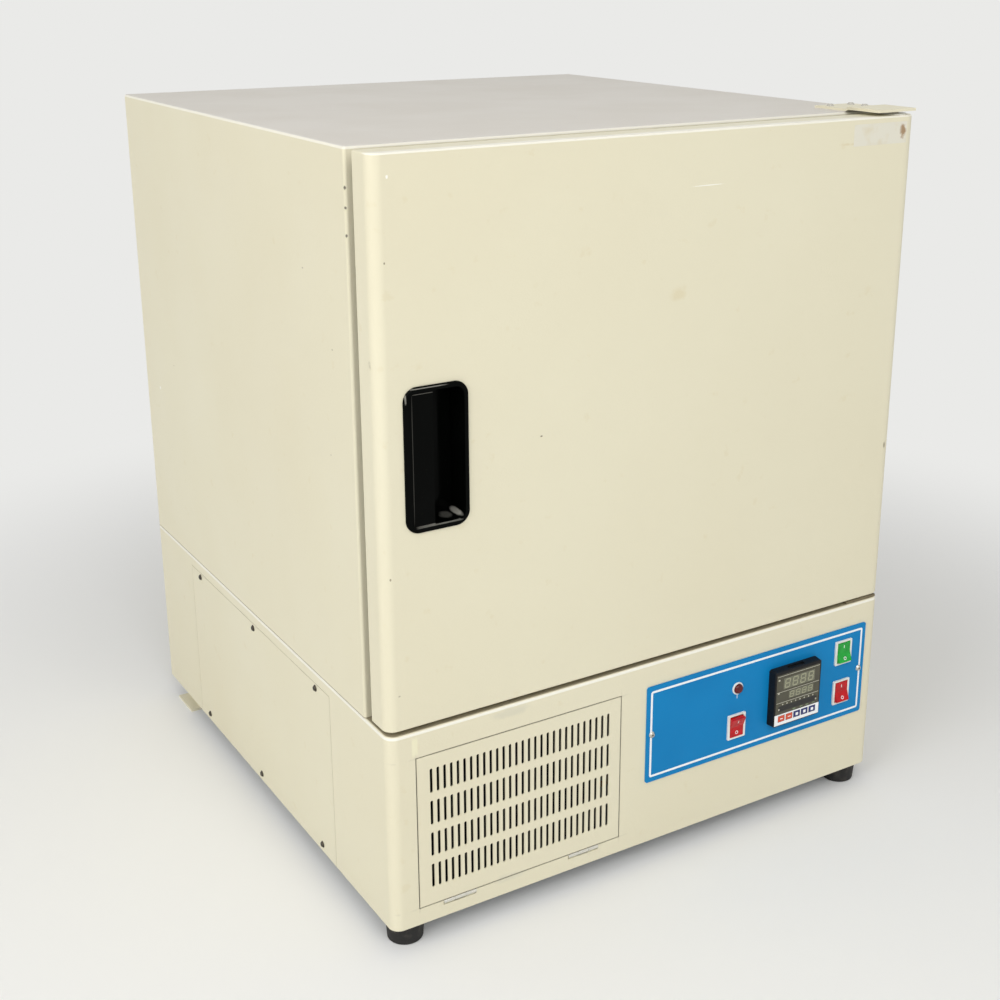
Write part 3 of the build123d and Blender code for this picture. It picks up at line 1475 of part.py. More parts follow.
with BuildPart() as top_hinge_bracket:
    with BuildSketch(Plane.YZ.offset(plate_left)):
        with BuildLine():
            Polyline((plate_back_y, cabinet_top), (step_y, cabinet_top),
                     (step_y - hinge_plate_step, cabinet_top + joggle), (plate_front_y, cabinet_top + joggle),
                     (plate_front_y, cabinet_top + joggle + thick),
                     (step_y - hinge_plate_step, cabinet_top + joggle + thick), (step_y, cabinet_top + thick),
                     (plate_back_y, cabinet_top + thick), (plate_back_y, cabinet_top))
        make_face()
    extrude(amount=hinge_plate_width)
    hinge_screw_holes()
    with Locations((hinge_x, hinge_y, cabinet_top + joggle)):
        Cylinder(hinge_pin_radius, joggle + door_gap_above + hinge_pin_reach,
                 align=(Align.CENTER, Align.CENTER, Align.MAX))
save(top_hinge_bracket, "top_hinge_bracket")

# Bottom hinge bracket: a plate on the base's top, with the lower pin

with BuildPart() as bottom_hinge_bracket:
    lower_right = half_width - hinge_plate_right - edge_radius
    block(lower_right - lower_plate_width, lower_right, hinge_y - lower_plate_front,
          hinge_y - lower_plate_front + lower_plate_length, base_top, base_top + hinge_plate_thickness)
    with Locations((hinge_x, hinge_y, base_top)):
        Cylinder(hinge_pin_radius, door_gap_below + hinge_pin_reach,
                 align=(Align.CENTER, Align.CENTER, Align.MIN))
save(bottom_hinge_bracket, "bottom_hinge_bracket")

# Hinge screws on the top bracket's rear half

with BuildPart() as hinge_screws:
    for x, y in hinge_screw_places:
        with Locations((x, y, cabinet_top + hinge_plate_thickness)):
            Cone(hinge_screw_radius, hinge_screw_radius * screw_crown, hinge_screw_head,
                 align=(Align.CENTER, Align.CENTER, Align.MIN))
            Cylinder(screw_shank_radius, hinge_plate_thickness + sheet,
                     align=(Align.CENTER, Align.CENTER, Align.MAX))
save(hinge_screws, "hinge_screws")
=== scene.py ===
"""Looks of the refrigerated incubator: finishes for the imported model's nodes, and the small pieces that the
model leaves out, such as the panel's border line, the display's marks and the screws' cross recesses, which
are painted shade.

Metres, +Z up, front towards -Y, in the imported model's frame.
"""
from math import pi, radians, sin

import bmesh
import bpy
from mathutils import Matrix, Vector
from mathutils.bvhtree import BVHTree


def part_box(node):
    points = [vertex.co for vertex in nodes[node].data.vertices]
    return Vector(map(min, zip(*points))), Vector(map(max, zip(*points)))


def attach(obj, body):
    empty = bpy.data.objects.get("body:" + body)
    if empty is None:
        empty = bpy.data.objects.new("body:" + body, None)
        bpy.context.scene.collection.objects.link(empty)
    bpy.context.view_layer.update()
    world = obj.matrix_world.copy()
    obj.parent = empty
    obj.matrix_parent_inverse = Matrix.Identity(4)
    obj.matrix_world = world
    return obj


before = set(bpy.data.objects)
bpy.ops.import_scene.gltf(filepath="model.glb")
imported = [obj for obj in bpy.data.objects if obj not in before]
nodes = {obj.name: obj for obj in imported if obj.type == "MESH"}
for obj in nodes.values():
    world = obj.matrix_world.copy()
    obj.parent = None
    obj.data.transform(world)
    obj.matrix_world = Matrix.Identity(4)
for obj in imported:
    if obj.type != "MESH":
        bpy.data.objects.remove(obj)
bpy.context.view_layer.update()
mm = 0.001

# Camera, fitted to the cabinet's corners
camera_place = (-0.89255, -1.50969, 0.977)
camera_yaw = 31.8466
camera_pitch = 17.8019
camera_lens, camera_film = 53.2739, 36
camera_shift = (-0.03029, -0.06358)

# How thick a printed mark is, and how far it stands off the surface under it
skin = 0.12 * mm
lift = 0.03 * mm


def screen_colour(red, green, blue):
    """A colour read off a picture, 0 to 255, as the shader wants it."""
    def linear(value):
        value = value / 255
        return value / 12.92 if value <= 0.04045 else ((value + 0.055) / 1.055) ** 2.4
    return (linear(red), linear(green), linear(blue), 1.0)


# Effects that several finishes share. A mark fades out between these distances, in parts of its reach

mark_clear, mark_full = 1.25, 0.85


def effect(name, inputs, outputs):
    """An empty node group with these named inputs and outputs."""
    group = bpy.data.node_groups.new(name, "ShaderNodeTree")
    for label, kind, start in inputs:
        socket = group.interface.new_socket(name=label, in_out="INPUT", socket_type=kind)
        if start is not None:
            socket.default_value = start
    for label, kind in outputs:
        group.interface.new_socket(name=label, in_out="OUTPUT", socket_type=kind)
    return group, group.nodes.new("NodeGroupInput"), group.nodes.new("NodeGroupOutput")


def stretched_noise_effect():
    """Noise with its own stretch along each axis: grain, orange peel and soft patches."""
    group, given, result = effect(
        "stretched noise",
        (("Stretch", "NodeSocketVector", (1, 1, 1)), ("Size", "NodeSocketFloat", 100.0),
         ("Detail", "NodeSocketFloat", 2.0), ("Low", "NodeSocketFloat", 0.35),
         ("High", "NodeSocketFloat", 0.65)),
        (("Value", "NodeSocketFloat"),))
    place = group.nodes.new("ShaderNodeTexCoord")
    stretch = group.nodes.new("ShaderNodeVectorMath")
    stretch.operation = "MULTIPLY"
    noise = group.nodes.new("ShaderNodeTexNoise")
    spread = group.nodes.new("ShaderNodeMapRange")
    links = group.links
    links.new(place.outputs["Object"], stretch.inputs[0])
    links.new(given.outputs["Stretch"], stretch.inputs[1])
    links.new(stretch.outputs[0], noise.inputs["Vector"])
    links.new(given.outputs["Size"], noise.inputs["Scale"])
    links.new(given.outputs["Detail"], noise.inputs["Detail"])
    links.new(noise.outputs["Fac"], spread.inputs["Value"])
    links.new(given.outputs["Low"], spread.inputs["From Min"])
    links.new(given.outputs["High"], spread.inputs["From Max"])
    links.new(spread.outputs["Result"], result.inputs["Value"])
    return group


def mark_effect(name, square):
    """One mark on a surface, an ellipsoid or a rounded box round a place, with a ragged soft edge."""
    group, given, result = effect(
        name,
        (("Place", "NodeSocketVector", (0, 0, 0)), ("Reach", "NodeSocketVector", (1, 1, 1)),
         ("Ragged", "NodeSocketFloat", 0.5), ("Grain", "NodeSocketFloat", 300.0)),
        (("Mask", "NodeSocketFloat"),))
    where = group.nodes.new("ShaderNodeTexCoord")
    from_place = group.nodes.new("ShaderNodeVectorMath")
    from_place.operation = "SUBTRACT"
    over_reach = group.nodes.new("ShaderNodeVectorMath")
    over_reach.operation = "DIVIDE"
    distance = group.nodes.new("ShaderNodeVectorMath")
    distance.operation = "LENGTH"
    noise = group.nodes.new("ShaderNodeTexNoise")
    ragged = group.nodes.new("ShaderNodeMath")
    ragged.operation = "MULTIPLY"
    both = group.nodes.new("ShaderNodeMath")
    both.operation = "ADD"
    edge = group.nodes.new("ShaderNodeMapRange")
    edge.inputs["From Min"].default_value = mark_clear
    edge.inputs["From Max"].default_value = mark_full
    links = group.links
    links.new(where.outputs["Object"], from_place.inputs[0])
    links.new(given.outputs["Place"], from_place.inputs[1])
    links.new(from_place.outputs[0], over_reach.inputs[0])
    links.new(given.outputs["Reach"], over_reach.inputs[1])
    reached = over_reach.outputs[0]
    far = distance.outputs["Value"]
    if square:
        # The eighth root of the summed eighth powers is a distance in the shape of a rounded box
        for _ in range(2):
            squared = group.nodes.new("ShaderNodeVectorMath")
            squared.operation = "MULTIPLY"
            links.new(reached, squared.inputs[0])
            links.new(reached, squared.inputs[1])
            reached = squared.outputs[0]
        root = group.nodes.new("ShaderNodeMath")
        root.operation = "POWER"
        root.inputs[1].default_value = 0.25
        links.new(distance.outputs["Value"], root.inputs[0])
        far = root.outputs[0]
    links.new(reached, distance.inputs[0])
    links.new(where.outputs["Object"], noise.inputs["Vector"])
    links.new(given.outputs["Grain"], noise.inputs["Scale"])
    links.new(noise.outputs["Fac"], ragged.inputs[0])
    links.new(given.outputs["Ragged"], ragged.inputs[1])
    links.new(far, both.inputs[0])
    links.new(ragged.outputs[0], both.inputs[1])
    links.new(both.outputs[0], edge.inputs["Value"])
    links.new(edge.outputs["Result"], result.inputs["Mask"])
    return group


stretched_noise = stretched_noise_effect()
mark = mark_effect("mark", square=False)
block_mark = mark_effect("block mark", square=True)


class Finish:
    """A material with one Principled shader, to which colour changes, bumps and marks are added in turn."""

    def __init__(self, name, colour, roughness, metallic=0.0, specular=0.5, coat=0.0):
        self.made = bpy.data.materials.new(name)
        self.made.use_nodes = True
        self.made.diffuse_color = colour
        self.tree = self.made.node_tree
        self.shader = self.tree.nodes["Principled BSDF"]
        self.shader.inputs["Base Color"].default_value = colour
        self.shader.inputs["Roughness"].default_value = roughness
        self.shader.inputs["Metallic"].default_value = metallic
        self.shader.inputs["Specular IOR Level"].default_value = specular
        self.shader.inputs["Coat Weight"].default_value = coat
        self.colour = colour
        self.colour_end = None

    def use(self, group, values, output):
        """Place a shared effect with its own values and give back one of its outputs."""
        placed = self.tree.nodes.new("ShaderNodeGroup")
        placed.node_tree = group
        for label, value in values.items():
            placed.inputs[label].default_value = value
        return placed.outputs[output]

    def noise(self, size, stretch=(1, 1, 1), detail=2.0, low=0.35, high=0.65):
        """Noise from 0 to 1. Its size is about how many patches there are to a metre."""
        return self.use(stretched_noise, {"Size": size, "Stretch": stretch, "Detail": detail, "Low": low,
                                          "High": high}, "Value")

    def tint(self, mask, colour, share=1.0):
        """Mix this colour in where the mask is bright."""
        mix = self.tree.nodes.new("ShaderNodeMix")
        mix.data_type = "RGBA"
        mix.inputs[7].default_value = colour
        if self.colour_end is None:
            mix.inputs[6].default_value = self.colour
        else:
            self.tree.links.new(self.colour_end, mix.inputs[6])
        if share != 1.0:
            scale = self.tree.nodes.new("ShaderNodeMath")
            scale.operation = "MULTIPLY"
            scale.inputs[1].default_value = share
            self.tree.links.new(mask, scale.inputs[0])
            mask = scale.outputs[0]
        self.tree.links.new(mask, mix.inputs[0])
        self.colour_end = mix.outputs[2]
        self.tree.links.new(self.colour_end, self.shader.inputs["Base Color"])
        return self

    def mottle(self, size, colour, share, **spread):
        """Mix this colour in by patches of noise this fine."""
        return self.tint(self.noise(size, **spread), colour, share)

    def vary_roughness(self, mask, smooth, rough):
        """Spread the roughness between these values by the mask."""
        spread = self.tree.nodes.new("ShaderNodeMapRange")
        spread.inputs["To Min"].default_value = smooth
        spread.inputs["To Max"].default_value = rough
        self.tree.links.new(mask, spread.inputs["Value"])
        self.tree.links.new(spread.outputs["Result"], self.shader.inputs["Roughness"])
        return self

    def bump(self, height, strength, distance):
        """Add a bump over those that are there."""
        bump = self.tree.nodes.new("ShaderNodeBump")
        bump.inputs["Strength"].default_value = strength
        bump.inputs["Distance"].default_value = distance
        self.tree.links.new(height, bump.inputs["Height"])
        if self.shader.inputs["Normal"].links:
            self.tree.links.new(self.shader.inputs["Normal"].links[0].from_socket, bump.inputs["Normal"])
        self.tree.links.new(bump.outputs["Normal"], self.shader.inputs["Normal"])
        return self

    def grain(self, size, strength, distance, detail=2.0):
        """Raise the surface by noise this fine."""
        return self.bump(self.noise(size, detail=detail), strength, distance)

    def spot(self, place, reach, colour, share=1.0, ragged=0.5, grain=300.0, form=mark):
        """A mark at this place, given and reaching in millimetres."""
        mask = self.use(form, {"Place": [value * mm for value in place],
                               "Reach": [value * mm for value in reach],
                               "Ragged": ragged, "Grain": grain}, "Mask")
        return self.tint(mask, colour, share)

    def spots(self, marks):
        """Several marks, each given as spot takes them."""
        for given in marks:
            self.spot(*given)
        return self


# Cream paint, once for each piece that has its own wear, painted highlights and painted shade

cream = screen_colour(229, 223, 197)
cream_worn = screen_colour(222, 213, 184)
dirt = screen_colour(120, 104, 76)
yellowed = screen_colour(206, 186, 130)
# Painted highlight for the rolled edges, and the colour of small bare paint chips
highlight_and_chip_white = screen_colour(250, 248, 240)
# Painted shade that greys the top face
top_painted_shade = screen_colour(208, 203, 198)
black_chip = screen_colour(58, 50, 40)
tape_residue = screen_colour(242, 238, 204)
tape_shade = screen_colour(206, 203, 184)
# Painted shade for narrow gaps and seams
gap_shade = screen_colour(52, 47, 36)
seam_shade = screen_colour(120, 108, 84)

# Where the gaps of the grille and the access panels lie, in millimetres

grille_left, grille_right, grille_low, grille_high = -299.8, -49.2, 44.5, 219.3
grille_x, grille_z = (grille_left + grille_right) / 2, (grille_low + grille_high) / 2
grille_half_width, grille_half_height = 126, 88
gap_y, gap_depth, gap_half = -334.0, 4.4, 1.2
access_front_y, access_back_y, access_top = -199.3, 224.2, 234.3
seam_x, seam_depth, seam_half = 326.2, 3.2, 0.9


def cream_paint(name):
    """Semi gloss enamel with a fine orange peel and a slow change of tone."""
    paint = Finish(name, cream, 0.42, specular=0.35)
    paint.mottle(2.4, cream_worn, 0.35, detail=3.0)
    paint.mottle(60.0, yellowed, 0.12, detail=4.0, low=0.66, high=0.74)
    paint.vary_roughness(paint.noise(9.0, detail=3.0), 0.38, 0.5)
    paint.grain(420.0, 0.12, 0.0004, detail=1.0)
    return paint


# Marks of use, painted highlights along the rolled edges and painted shade along the seams, each by its place
# and reach in millimetres, its colour, share, raggedness and grain, and by its form where that isn't round

door_marks = (
    # Painted highlight along the door's top edge
    ((0, -338, 817.8), (900, 14, 1.2), highlight_and_chip_white, 0.6, 0.15, 60),
    ((46, -338, 763.2), (24, 6, 0.7), highlight_and_chip_white, 0.8, 0.6, 500),
    ((13.6, -338, 655.7), (20, 6, 15), yellowed, 0.25, 1.4, 70),
    ((-151.8, -338, 532.1), (1.7, 6, 0.9), dirt, 0.9, 0.5, 900),
    ((-317.5, -336, 721.3), (1.1, 8, 1.4), dirt, 0.8, 0.6, 900),
    ((-330.5, -334, 561.1), (1.6, 6, 2.0), black_chip, 0.9, 0.5, 900),
    # Painted shade on the door's left side
    ((-331, -330, 626.6), (1.5, 8, 9), seam_shade, 0.5, 0.5, 500),
    ((-312.6, -338, 797.5), (1.6, 6, 2.0), highlight_and_chip_white, 0.9, 0.6, 900),
    ((-321, -338, 416.9), (1.2, 6, 1.8), dirt, 0.7, 0.6, 900),
    ((-315.3, -338, 292.4), (1.6, 6, 1.0), dirt, 0.5, 0.6, 900),
    ((319.3, -338, 441.6), (2.2, 8, 5), dirt, 0.7, 0.8, 700),
    ((262, -338, 792), (56, 6, 2.2), yellowed, 0.3, 0.9, 200),
)
casing_marks = (
    # Painted shade: the top face is tinted grey
    ((0, 0, 820), (900, 900, 0.8), top_painted_shade, 0.8, 0.05, 30),
    # Painted highlight along the casing's top edge
    ((0, 0, 818.3), (900, 900, 1.3), highlight_and_chip_white, 0.55, 0.15, 60),
    # Painted shade along the seam between the base and the casing
    ((0, 0, 249), (900, 900, 1.0), seam_shade, 0.75, 0.1, 60),
    ((-330, -287, 782.9), (2, 2.2, 2.4), black_chip, 0.85, 0.5, 900),
    ((-330, -287, 764.7), (2, 2.2, 1.8), black_chip, 0.85, 0.5, 900),
    ((-330, -287, 739.3), (2, 2.2, 2.0), black_chip, 0.85, 0.5, 900),
    ((-330, -183.2, 692.5), (3, 3.0, 1.3), dirt, 0.5, 1.0, 500),
    ((-330, -245.6, 623.7), (3, 2.4, 1.3), dirt, 0.5, 1.0, 500),
    ((-330, 236.4, 497.8), (3, 1.8, 1.3), dirt, 0.5, 1.0, 500),
    ((-330, -232, 514), (3, 1.8, 1.3), dirt, 0.5, 1.0, 500),
    ((-330, 298.2, 454.6), (3, 2.4, 2.6), highlight_and_chip_white, 0.9, 0.6, 700),
)
base_marks = (
    # Painted highlight along the base's rolled top edge
    ((0, 0, 246.6), (900, 900, 1.5), highlight_and_chip_white, 0.7, 0.15, 60),
    # Painted shade along the seam between the base and the casing
    ((0, 0, 249.4), (900, 900, 0.9), seam_shade, 0.8, 0.1, 60),
    ((-300.6, -339, 232.5), (3.6, 6, 10.5), tape_residue, 0.6, 0.3, 300, block_mark),
    ((-190, -339, 240), (34, 6, 8), tape_shade, 0.45, 0.9, 90),
    ((-189, -339, 44), (30, 6, 7), tape_shade, 0.35, 0.9, 90),
)
door_paint = cream_paint("door_paint").spots(door_marks)
casing_paint = cream_paint("casing_paint").spots(casing_marks)
base_paint = cream_paint("base_paint").spots(base_marks)
panel_paint = cream_paint("panel_paint")


def painted_gap_shade(paint, place, reach, colour, share):
    """Painted shade: a dark line along a narrow gap, where shade falls in it."""
    paint.spot(place, reach, colour, share, ragged=0.05, form=block_mark)


# Painted shade in the gaps round the grille
for level in (grille_low, grille_high):
    painted_gap_shade(base_paint, (grille_x, gap_y, level), (grille_half_width, gap_depth, gap_half), gap_shade, 0.85)
for x in (grille_left, grille_right):
    painted_gap_shade(base_paint, (x, gap_y, grille_z), (gap_half, gap_depth, grille_half_height), gap_shade, 0.85)
# Painted shade in the seams round the access panels
for paint in (base_paint, panel_paint):
    for side in (-1, 1):
        for y in (access_front_y, access_back_y):
            painted_gap_shade(paint, (side * seam_x, y, access_top / 2), (seam_depth, seam_half, access_top / 2),
                     seam_shade, 0.9)
        painted_gap_shade(paint, (side * seam_x, (access_front_y + access_back_y) / 2, access_top),
                 (seam_depth, (access_back_y - access_front_y) / 2, seam_half), seam_shade, 0.9)

# Other finishes

blue_panel = Finish("blue_panel", screen_colour(10, 130, 192), 0.45, specular=0.15)
blue_panel.mottle(14.0, screen_colour(6, 121, 183), 0.5, detail=2.0)
blue_panel.grain(900.0, 0.08, 0.0002, detail=1.0)

white_print = Finish("white_print", screen_colour(244, 246, 246), 0.45)
white_print.vary_roughness(white_print.noise(200.0), 0.4, 0.55)

white_plastic = Finish("white_plastic", screen_colour(236, 236, 230), 0.3)
white_plastic.mottle(90.0, screen_colour(226, 224, 214), 0.5)
white_plastic.grain(1200.0, 0.05, 0.0001)


def rocker_plastic(name, bright, deep):
    """Translucent moulded plastic over a lamp chamber."""
    plastic = Finish(name, bright, 0.2, specular=0.3)
    plastic.mottle(160.0, deep, 0.55, detail=2.0)
    plastic.shader.inputs["Subsurface Weight"].default_value = 0.12
    plastic.shader.inputs["Subsurface Radius"].default_value = (0.004, 0.002, 0.002)
    return plastic


red_rocker = rocker_plastic("red_rocker", screen_colour(200, 12, 24), screen_colour(150, 6, 16))
green_rocker = rocker_plastic("green_rocker", screen_colour(30, 170, 60), screen_colour(14, 128, 44))

lamp_red = Finish("lamp_red", screen_colour(104, 6, 12), 0.08, specular=0.4)
lamp_red.mottle(300.0, screen_colour(70, 4, 8), 0.7)

controller_black = Finish("controller_black", screen_colour(16, 16, 17), 0.5, specular=0.25)
controller_black.grain(2600.0, 0.25, 0.0001, detail=2.0)
controller_black.vary_roughness(controller_black.noise(60.0), 0.42, 0.56)

display_grey = Finish("display_grey", screen_colour(84, 82, 68), 0.24, specular=0.3)
display_grey.mottle(30.0, screen_colour(76, 74, 62), 0.6)
display_ghost = Finish("display_ghost", screen_colour(166, 166, 138), 0.4)
display_ghost.mottle(260.0, screen_colour(152, 152, 126), 0.6)
display_pale = Finish("display_pale", screen_colour(112, 112, 92), 0.4)
display_pale.mottle(260.0, screen_colour(102, 102, 86), 0.6)
display_line = Finish("display_line", screen_colour(196, 194, 176), 0.5)
display_line.mottle(400.0, screen_colour(170, 168, 150), 0.6)
display_dark = Finish("display_dark", screen_colour(26, 25, 22), 0.3)
display_dark.mottle(300.0, screen_colour(18, 17, 15), 0.6)
display_green = Finish("display_green", screen_colour(120, 138, 104), 0.5)
display_green.mottle(400.0, screen_colour(96, 112, 84), 0.6)

key_red = Finish("key_red", screen_colour(214, 82, 48), 0.42)
key_red.mottle(240.0, screen_colour(200, 70, 40), 0.6)
key_blue = Finish("key_blue", screen_colour(28, 40, 110), 0.42)
key_blue.mottle(240.0, screen_colour(22, 32, 92), 0.6)

# The handle is black, with painted highlights along its rim and round the grip, and a painted glint at the
# bottom of its pocket

# Painted highlight colour for the handle
handle_highlight = screen_colour(168, 166, 156)
handle_black = Finish("handle_black", screen_colour(3, 4, 3), 0.12, specular=0.05)
handle_black.mottle(30.0, screen_colour(10, 11, 10), 0.4, detail=4.0, low=0.5, high=0.75)
handle_black.spots((
    ((-242.2, -325, 468), (3.4, 14, 3.6), handle_highlight, 0.8, 0.5, 90),
    ((-251, -321, 464.4), (10, 11, 1.6), handle_highlight, 0.22, 0.7, 70),
    ((-268, -339.4, 464.3), (24, 2.2, 0.7), handle_highlight, 0.6, 0.3, 120, block_mark),
    ((-278, -340, 601.6), (22, 2.0, 0.6), handle_highlight, 0.5, 0.4, 120, block_mark),
    ((-301.4, -340, 594), (0.9, 2.0, 7), handle_highlight, 0.5, 0.6, 120, block_mark),
    ((-282, -337.7, 595.4), (11, 1.5, 0.4), handle_highlight, 0.25, 0.2, 300, block_mark),
    ((-293.6, -337.7, 532), (0.4, 1.5, 62), handle_highlight, 0.12, 0.2, 300, block_mark),
))
handle_black.vary_roughness(handle_black.noise(45.0, detail=4.0), 0.08, 0.2)
handle_black.grain(700.0, 0.04, 0.0001)

black_plastic = Finish("black_plastic", screen_colour(28, 28, 28), 0.5)
black_plastic.grain(1800.0, 0.2, 0.0001)
black_rubber = Finish("black_rubber", screen_colour(24, 23, 22), 0.72)
black_rubber.mottle(120.0, screen_colour(66, 62, 56), 0.5, detail=4.0, low=0.5, high=0.7)
black_rubber.grain(1000.0, 0.3, 0.0002)

gasket_grey = Finish("gasket_grey", screen_colour(120, 116, 100), 0.6)
gasket_grey.mottle(40.0, screen_colour(92, 88, 74), 0.6, detail=3.0)
gasket_grey.grain(600.0, 0.12, 0.0002)
breaker_grey = Finish("breaker_grey", screen_colour(188, 186, 176), 0.5)
breaker_grey.mottle(25.0, screen_colour(170, 167, 155), 0.5)
foam = Finish("foam", screen_colour(226, 208, 150), 0.85)
foam.mottle(180.0, screen_colour(206, 184, 120), 0.7, detail=3.0)
foam.grain(900.0, 0.5, 0.0006, detail=3.0)


def drawn_steel(name, colour, roughness, stretch, grain=900.0):
    """Bright metal with a grain that runs along one direction."""
    steel = Finish(name, colour, roughness, metallic=1.0)
    darker = tuple(value * 0.8 for value in colour[:3]) + (1.0,)
    steel.tint(steel.noise(grain, stretch, detail=2.0), darker, 0.3)
    steel.vary_roughness(steel.noise(grain, stretch, detail=2.0), roughness * 0.75, roughness * 1.35)
    steel.bump(steel.noise(grain, stretch, detail=1.0), 0.1, 0.0001)
    return steel


stainless = drawn_steel("stainless", screen_colour(206, 206, 204), 0.3, (1, 1, 0.03))
shelf_steel = drawn_steel("shelf_steel", screen_colour(214, 214, 212), 0.2, (1, 0.05, 1))
zinc_steel = drawn_steel("zinc_steel", screen_colour(184, 188, 192), 0.42, (0.2, 0.2, 0.2), 140.0)
hinge_steel = drawn_steel("hinge_steel", screen_colour(228, 226, 216), 0.24, (0.05, 1, 1))
plated_screw = drawn_steel("plated_screw", screen_colour(206, 202, 192), 0.25, (1, 1, 1))
heater_steel = drawn_steel("heater_steel", screen_colour(104, 94, 86), 0.45, (0.2, 1, 1), 200.0)
aluminium = drawn_steel("aluminium", screen_colour(208, 210, 212), 0.34, (1, 1, 0.1), 500.0)
copper = drawn_steel("copper", screen_colour(200, 124, 86), 0.3, (0.2, 0.2, 0.2), 300.0)

dark_screw = Finish("dark_screw", screen_colour(58, 54, 48), 0.4, metallic=0.7)
dark_screw.mottle(500.0, screen_colour(92, 84, 70), 0.6, detail=3.0)
# Painted shade for the screws' cross recesses
recess_painted_shade = Finish("recess_painted_shade", screen_colour(20, 18, 16), 0.7)
recess_painted_shade.mottle(900.0, screen_colour(36, 32, 28), 0.6)
compressor_black = Finish("compressor_black", screen_colour(22, 22, 23), 0.25, coat=0.3)
compressor_black.vary_roughness(compressor_black.noise(30.0, detail=4.0), 0.2, 0.4)
condenser_black = Finish("condenser_black", screen_colour(20, 20, 20), 0.55, specular=0.2)
condenser_black.mottle(60.0, screen_colour(58, 54, 48), 0.35, detail=4.0, low=0.5, high=0.8)
# Painted shade: the bottom hinge bracket is coloured dark, as it looks in the shade of the gap under the door
bracket_painted_shade = Finish("bracket_painted_shade", screen_colour(128, 116, 88), 0.5, specular=0.3)
bracket_painted_shade.mottle(90.0, screen_colour(104, 94, 72), 0.6, detail=3.0)
motor_black = Finish("motor_black", screen_colour(40, 40, 42), 0.5)
motor_black.grain(1200.0, 0.2, 0.0001)
label_paper = Finish("label_paper", screen_colour(226, 222, 206), 0.5)
label_paper.mottle(70.0, yellowed, 0.35, detail=4.0, low=0.45, high=0.75)
label_paper.spot((311, -338, 802), (7, 6, 12), screen_colour(150, 112, 66), 0.85, ragged=1.0, grain=260)

finishes = {
    door_paint: ("door_shell",),
    casing_paint: ("cabinet_shell", "cabinet_back", "top_hinge_bracket"),
    base_paint: ("base_shell", "base_back_panel", "grille_door", "rear_foot_brackets"),
    panel_paint: ("access_panels",),
    blue_panel: ("control_panel",),
    white_plastic: ("switch_housings", "pilot_lamp_bezel", "door_bushes"),
    red_rocker: ("power_rocker", "contact_rocker"),
    green_rocker: ("refrigeration_rocker",),
    lamp_red: ("pilot_lamp_lens",),
    controller_black: ("controller_case",),
    display_grey: ("controller_window",),
    key_red: ("controller_key_1", "controller_key_2"),
    key_blue: ("controller_key_3", "controller_key_4", "controller_key_5"),
    handle_black: ("handle_pull",),
    black_plastic: ("power_inlet", "grille_catch"),
    black_rubber: ("front_feet", "compressor_grommets"),
    gasket_grey: ("door_gasket",),
    breaker_grey: ("breaker_frame",),
    foam: ("cabinet_insulation", "door_insulation"),
    stainless: ("chamber_liner", "door_liner", "plenum_cover", "shelf_clips", "shelf_pilasters",
                "temperature_probe"),
    shelf_steel: ("lower_shelf", "upper_shelf"),
    zinc_steel: ("base_deck", "base_floor", "condenser_shroud", "electrical_box"),
    hinge_steel: ("grille_fixed_leaves", "grille_moving_leaves"),
    plated_screw: ("hinge_screws", "control_panel_screws"),
    dark_screw: ("casing_screws",),
    heater_steel: ("heater_element",),
    aluminium: ("circulation_fan", "condenser_fan", "evaporator_coil"),
    copper: ("refrigerant_pipes",),
    compressor_black: ("compressor",),
    condenser_black: ("condenser_coil",),
    bracket_painted_shade: ("bottom_hinge_bracket",),
    motor_black: ("circulation_fan_motor", "condenser_fan_motor"),
}
for finish, names in finishes.items():
    for name in names:
        for place in nodes[name].material_slots:
            place.material = finish.made


# Small pieces. A direction lies along an axis when this much of its length does

along = 0.9
corner_steps, disc_sides, ring_steps = 5, 32, 24


def finished(name, form, body, finish):
    """Make a piece of this form, ride it on a body and give it its finish."""
    bmesh.ops.recalc_face_normals(form, faces=form.faces)
    mesh = bpy.data.meshes.new(name)
    form.to_mesh(mesh)
    form.free()
    mesh.materials.append(finish.made)
    piece = bpy.data.objects.new(name, mesh)
    bpy.context.scene.collection.objects.link(piece)
    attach(piece, body)
    return piece


def bar(form, middle, size, turn=None):
    """Add a block of this size, turned about its middle."""
    turn = turn or Matrix.Identity(4)
    return bmesh.ops.create_cube(form, size=1.0, matrix=Matrix.Translation(middle) @ turn @
                                 Matrix.Diagonal((*size, 1.0)))["verts"]


def front_plate(form, x, z, width, height, front, thickness=skin):
    """Add a thin plate that faces the front, its outer face at this Y."""
    return bar(form, (x, front + thickness / 2, z), (width, thickness, height))


def rounded(form, corners, radius):
    """Round a plate's corners as seen from the front."""
    edges = {edge for corner in corners for edge in corner.link_edges
             if abs((edge.verts[0].co - edge.verts[1].co).normalized().y) > along}
    bmesh.ops.bevel(form, geom=list(edges), offset=radius, offset_type="OFFSET", affect="EDGES",
                    segments=corner_steps, profile=0.5, material=-1)


def frame_line(form, x, z, width, height, corner, line, front, thickness=skin):
    """Add a rounded rectangle drawn as a line of this width, standing a little out of its surface."""
    part = bmesh.new()
    rounded(part, front_plate(part, x, z, width, height, front, thickness), corner)
    inner = [face for face in part.faces if abs(face.normal.y) > along]
    part.normal_update()
    bmesh.ops.inset_individual(part, faces=inner, thickness=line, use_even_offset=True)
    bmesh.ops.bridge_loops(part, edges=[edge for face in inner for edge in face.edges])
    bmesh.ops.delete(part, geom=inner, context="FACES")
    merge_into(form, part)


def merge_into(form, part):
    """Add a finished part's faces to a form."""
    mesh = bpy.data.meshes.new("part")
    part.to_mesh(mesh)
    part.free()
    form.from_mesh(mesh)
    bpy.data.meshes.remove(mesh)


